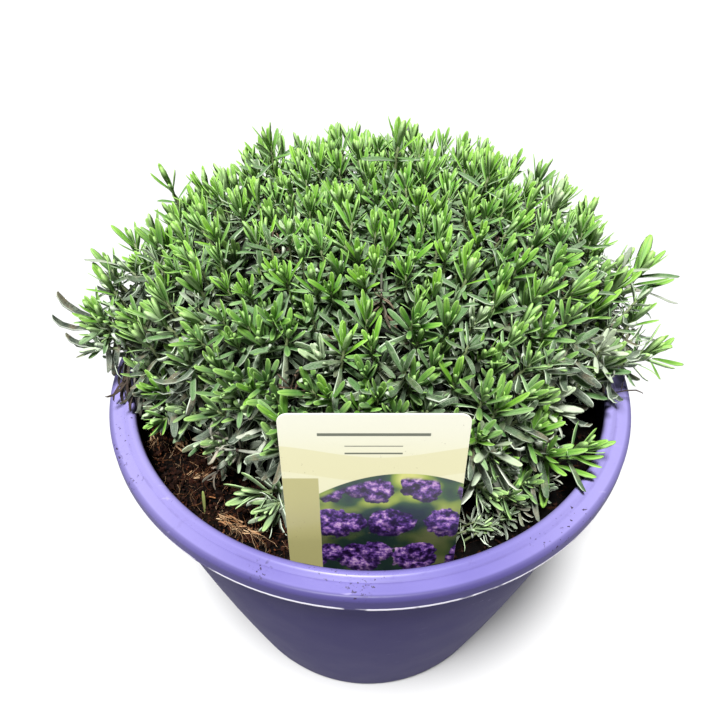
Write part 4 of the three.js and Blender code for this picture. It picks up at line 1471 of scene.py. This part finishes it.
def leafy_sprigs(sprigs):
    """Every sprig of the bush, in a list for each branch."""
    lists = [[] for _ in AXES]

    def grow(kind, azimuth, elevation, inset, size, look, tilt=0.13):
        """Stands a shoot that far inside the canopy, unless a placed one is near."""
        towards = direction(azimuth, elevation)
        branch = nearest_axis(towards)
        radius = canopy_radius(azimuth, elevation) - bare_ground(azimuth, elevation) - inset
        root = HEART + towards * radius
        if any((root - Vector(spot)).length < 10 + 7 * its_look[2] for _, spot, _, _, its_look in STRAYS):
            return
        form = draw.choice(sprigs[kind])
        heading = wobble(heading_of(root, towards, branch), tilt)
        sprig = planted(form, towards, radius, heading, size, look)
        if sprig:
            lists[branch].append(sprig)

    # The shoots that show stand evenly over the canopy; the lower they are, the more are old or pale.
    spacing = math.sqrt(TURN / SHOOTS)
    for i in range(SHOOTS):
        elevation = float(np.interp((i + 0.5) / SHOOTS, AREA_SHARES, ELEVATIONS))
        elevation += math.degrees(draw.uniform(-0.3, 0.3) * spacing)
        squeeze = max(math.cos(math.radians(elevation)), 0.2)
        azimuth = i * GOLDEN_ANGLE + draw.uniform(-0.3, 0.3) * spacing / squeeze
        lowness = clamped((30 - elevation) / 36)
        front = max(0.0, -math.sin(azimuth))
        kind = draw.choice(("tuft", "tuft", "tuft", "open", "closed", "closed"))
        if draw.random() < 0.06 + 0.28 * lowness * (0.5 + 0.5 * front):
            kind = "old"
        look = (draw.random(), draw.uniform(0, 0.12), 0.0)
        if draw.random() < 0.03 + 0.07 * lowness:
            look = (draw.random(), 0.0, draw.uniform(0.3, 0.7))
        size = shoot_size(elevation) * draw.uniform(0.88, 1.14)
        grow(kind, azimuth, elevation, 17 * size + draw.uniform(-5, 8), size, look)
    # Older ones fill the bush under them, painted dark by their depth as painted shade.
    for i in range(UNDERSHOOTS):
        elevation = float(np.interp((i + 0.5) / UNDERSHOOTS, AREA_SHARES, ELEVATIONS))
        azimuth = (i + 0.5) * GOLDEN_ANGLE + 1.7
        kind = "dry" if draw.random() < 0.12 else "old" if elevation < 38 else "closed"
        look = (draw.random(), draw.uniform(0.35, 1.0), 0.0)
        size = shoot_size(elevation) * draw.uniform(0.9, 1.1)
        tilt = 0.4 if elevation < 38 else 0.15
        grow(kind, azimuth, elevation, draw.uniform(25, 33), size, look, tilt)
    for kind, root, heading, size, look in STRAYS:
        root, heading = Vector(root), Vector(heading).normalized()
        towards = (root - HEART).normalized()
        form, reach = draw.choice(sprigs[kind]), (root - HEART).length
        sprig = planted(form, towards, reach, heading, size, look, sunk=12)
        if sprig:
            lists[nearest_axis(towards)].append(sprig)
    return lists


# How far the dense growth stays inside the leaf tips, and how far it may reach from its centre
CORE_INSET = 31
CORE_REACH = 80


def core_reach(centre, ray, free):
    """How far a ray from a core's centre runs before it nears the leaf tips, the soil or the rim."""
    length = 1.0
    while length < min(free, CORE_REACH):
        point = Vector(np.array(centre) + ray * length) - HEART
        limit = reach_towards(point.normalized()) - CORE_INSET
        azimuth = math.atan2(point.y, point.x)
        elevation = math.degrees(math.asin(point.normalized().z))
        world = point + HEART
        near_rim = math.hypot(world.x, world.y) > 112
        floor = POT_HEIGHT + 3 if near_rim else soil_height(world.x, world.y) - 1
        if point.length > limit - bare_ground(azimuth, elevation) or world.z < floor:
            break
        length += 1.5
    return min(length, free)


def build_cores(finish):
    """The dense growth behind the leaves of each branch, dark with painted shade, each within the planes to
    its neighbours.
    """
    cores = []
    for branch, axis in enumerate(AXES):
        centre = core_centre(branch)
        bpy.ops.mesh.primitive_ico_sphere_add(subdivisions=3, radius=MM)
        core = begin(f"core_{branch + 1:02d}")
        bpy.ops.transform.translate(value=centre * MM)
        done()
        points = points_of(core.data)
        rays = points / MM - np.array(centre)
        rays /= np.linalg.norm(rays, axis=1)[:, None]
        normals = np.array([(axis - other).normalized() for i, other in enumerate(AXES) if i != branch])
        base = normals @ np.array(centre - HEART)
        slopes = rays @ normals.T
        with np.errstate(divide="ignore", invalid="ignore"):
            lengths = np.where(slopes < -1e-6, (base[None, :] - 0.4) / -slopes, 1e3).min(axis=1)
        for i, (ray, free) in enumerate(zip(rays, lengths)):
            points[i] = (np.array(centre) + ray * core_reach(centre, ray, free)) * MM
        core.data.vertices.foreach_set("co", points.ravel())
        tangle = cloud_texture(f"tangle_{branch}", 0.009, 2)
        modify(core, "DISPLACE", texture=tangle, strength=5 * MM, mid_level=0.8)
        wear(core, finish)
        cores.append(core)
    return cores


def build_foliage(finishes, heart):
    forms = leaf_forms()
    sprigs = sprig_forms(forms, finishes)
    lists = leafy_sprigs(sprigs)
    for kind, number, root, *rest in LONE_LEAVES:
        leaf = lone_leaf(forms[kind][number], finishes[0], root, *rest)
        lists[nearest_axis((Vector(root) - HEART).normalized())].append(leaf)
    cores = build_cores(heart)
    for branch, group in enumerate(lists):
        whole = join([cores[branch], *group], f"foliage_{branch + 1:02d}")
        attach(whole, "root")
        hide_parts(f"leafy_branch_{branch + 1:02d}")
    for group in [*sprigs.values(), *forms.values()]:
        put_away(group)


# The scene

set_camera()
set_stage()

planter = build_planter(planter_finish())
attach(planter, "root")
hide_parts("pot")

soil = build_soil(soil_finish())
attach(soil, "root")
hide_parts("potting_soil")

card = build_card(card_finish())
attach(card, "root")
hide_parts("plant_label")

litter = build_litter(litter_finish())
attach(litter, "root")

wear(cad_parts["woody_crown"], bark_finish())
build_foliage((leaf_finish(), stalk_finish()), heart_finish())

deselect_all()
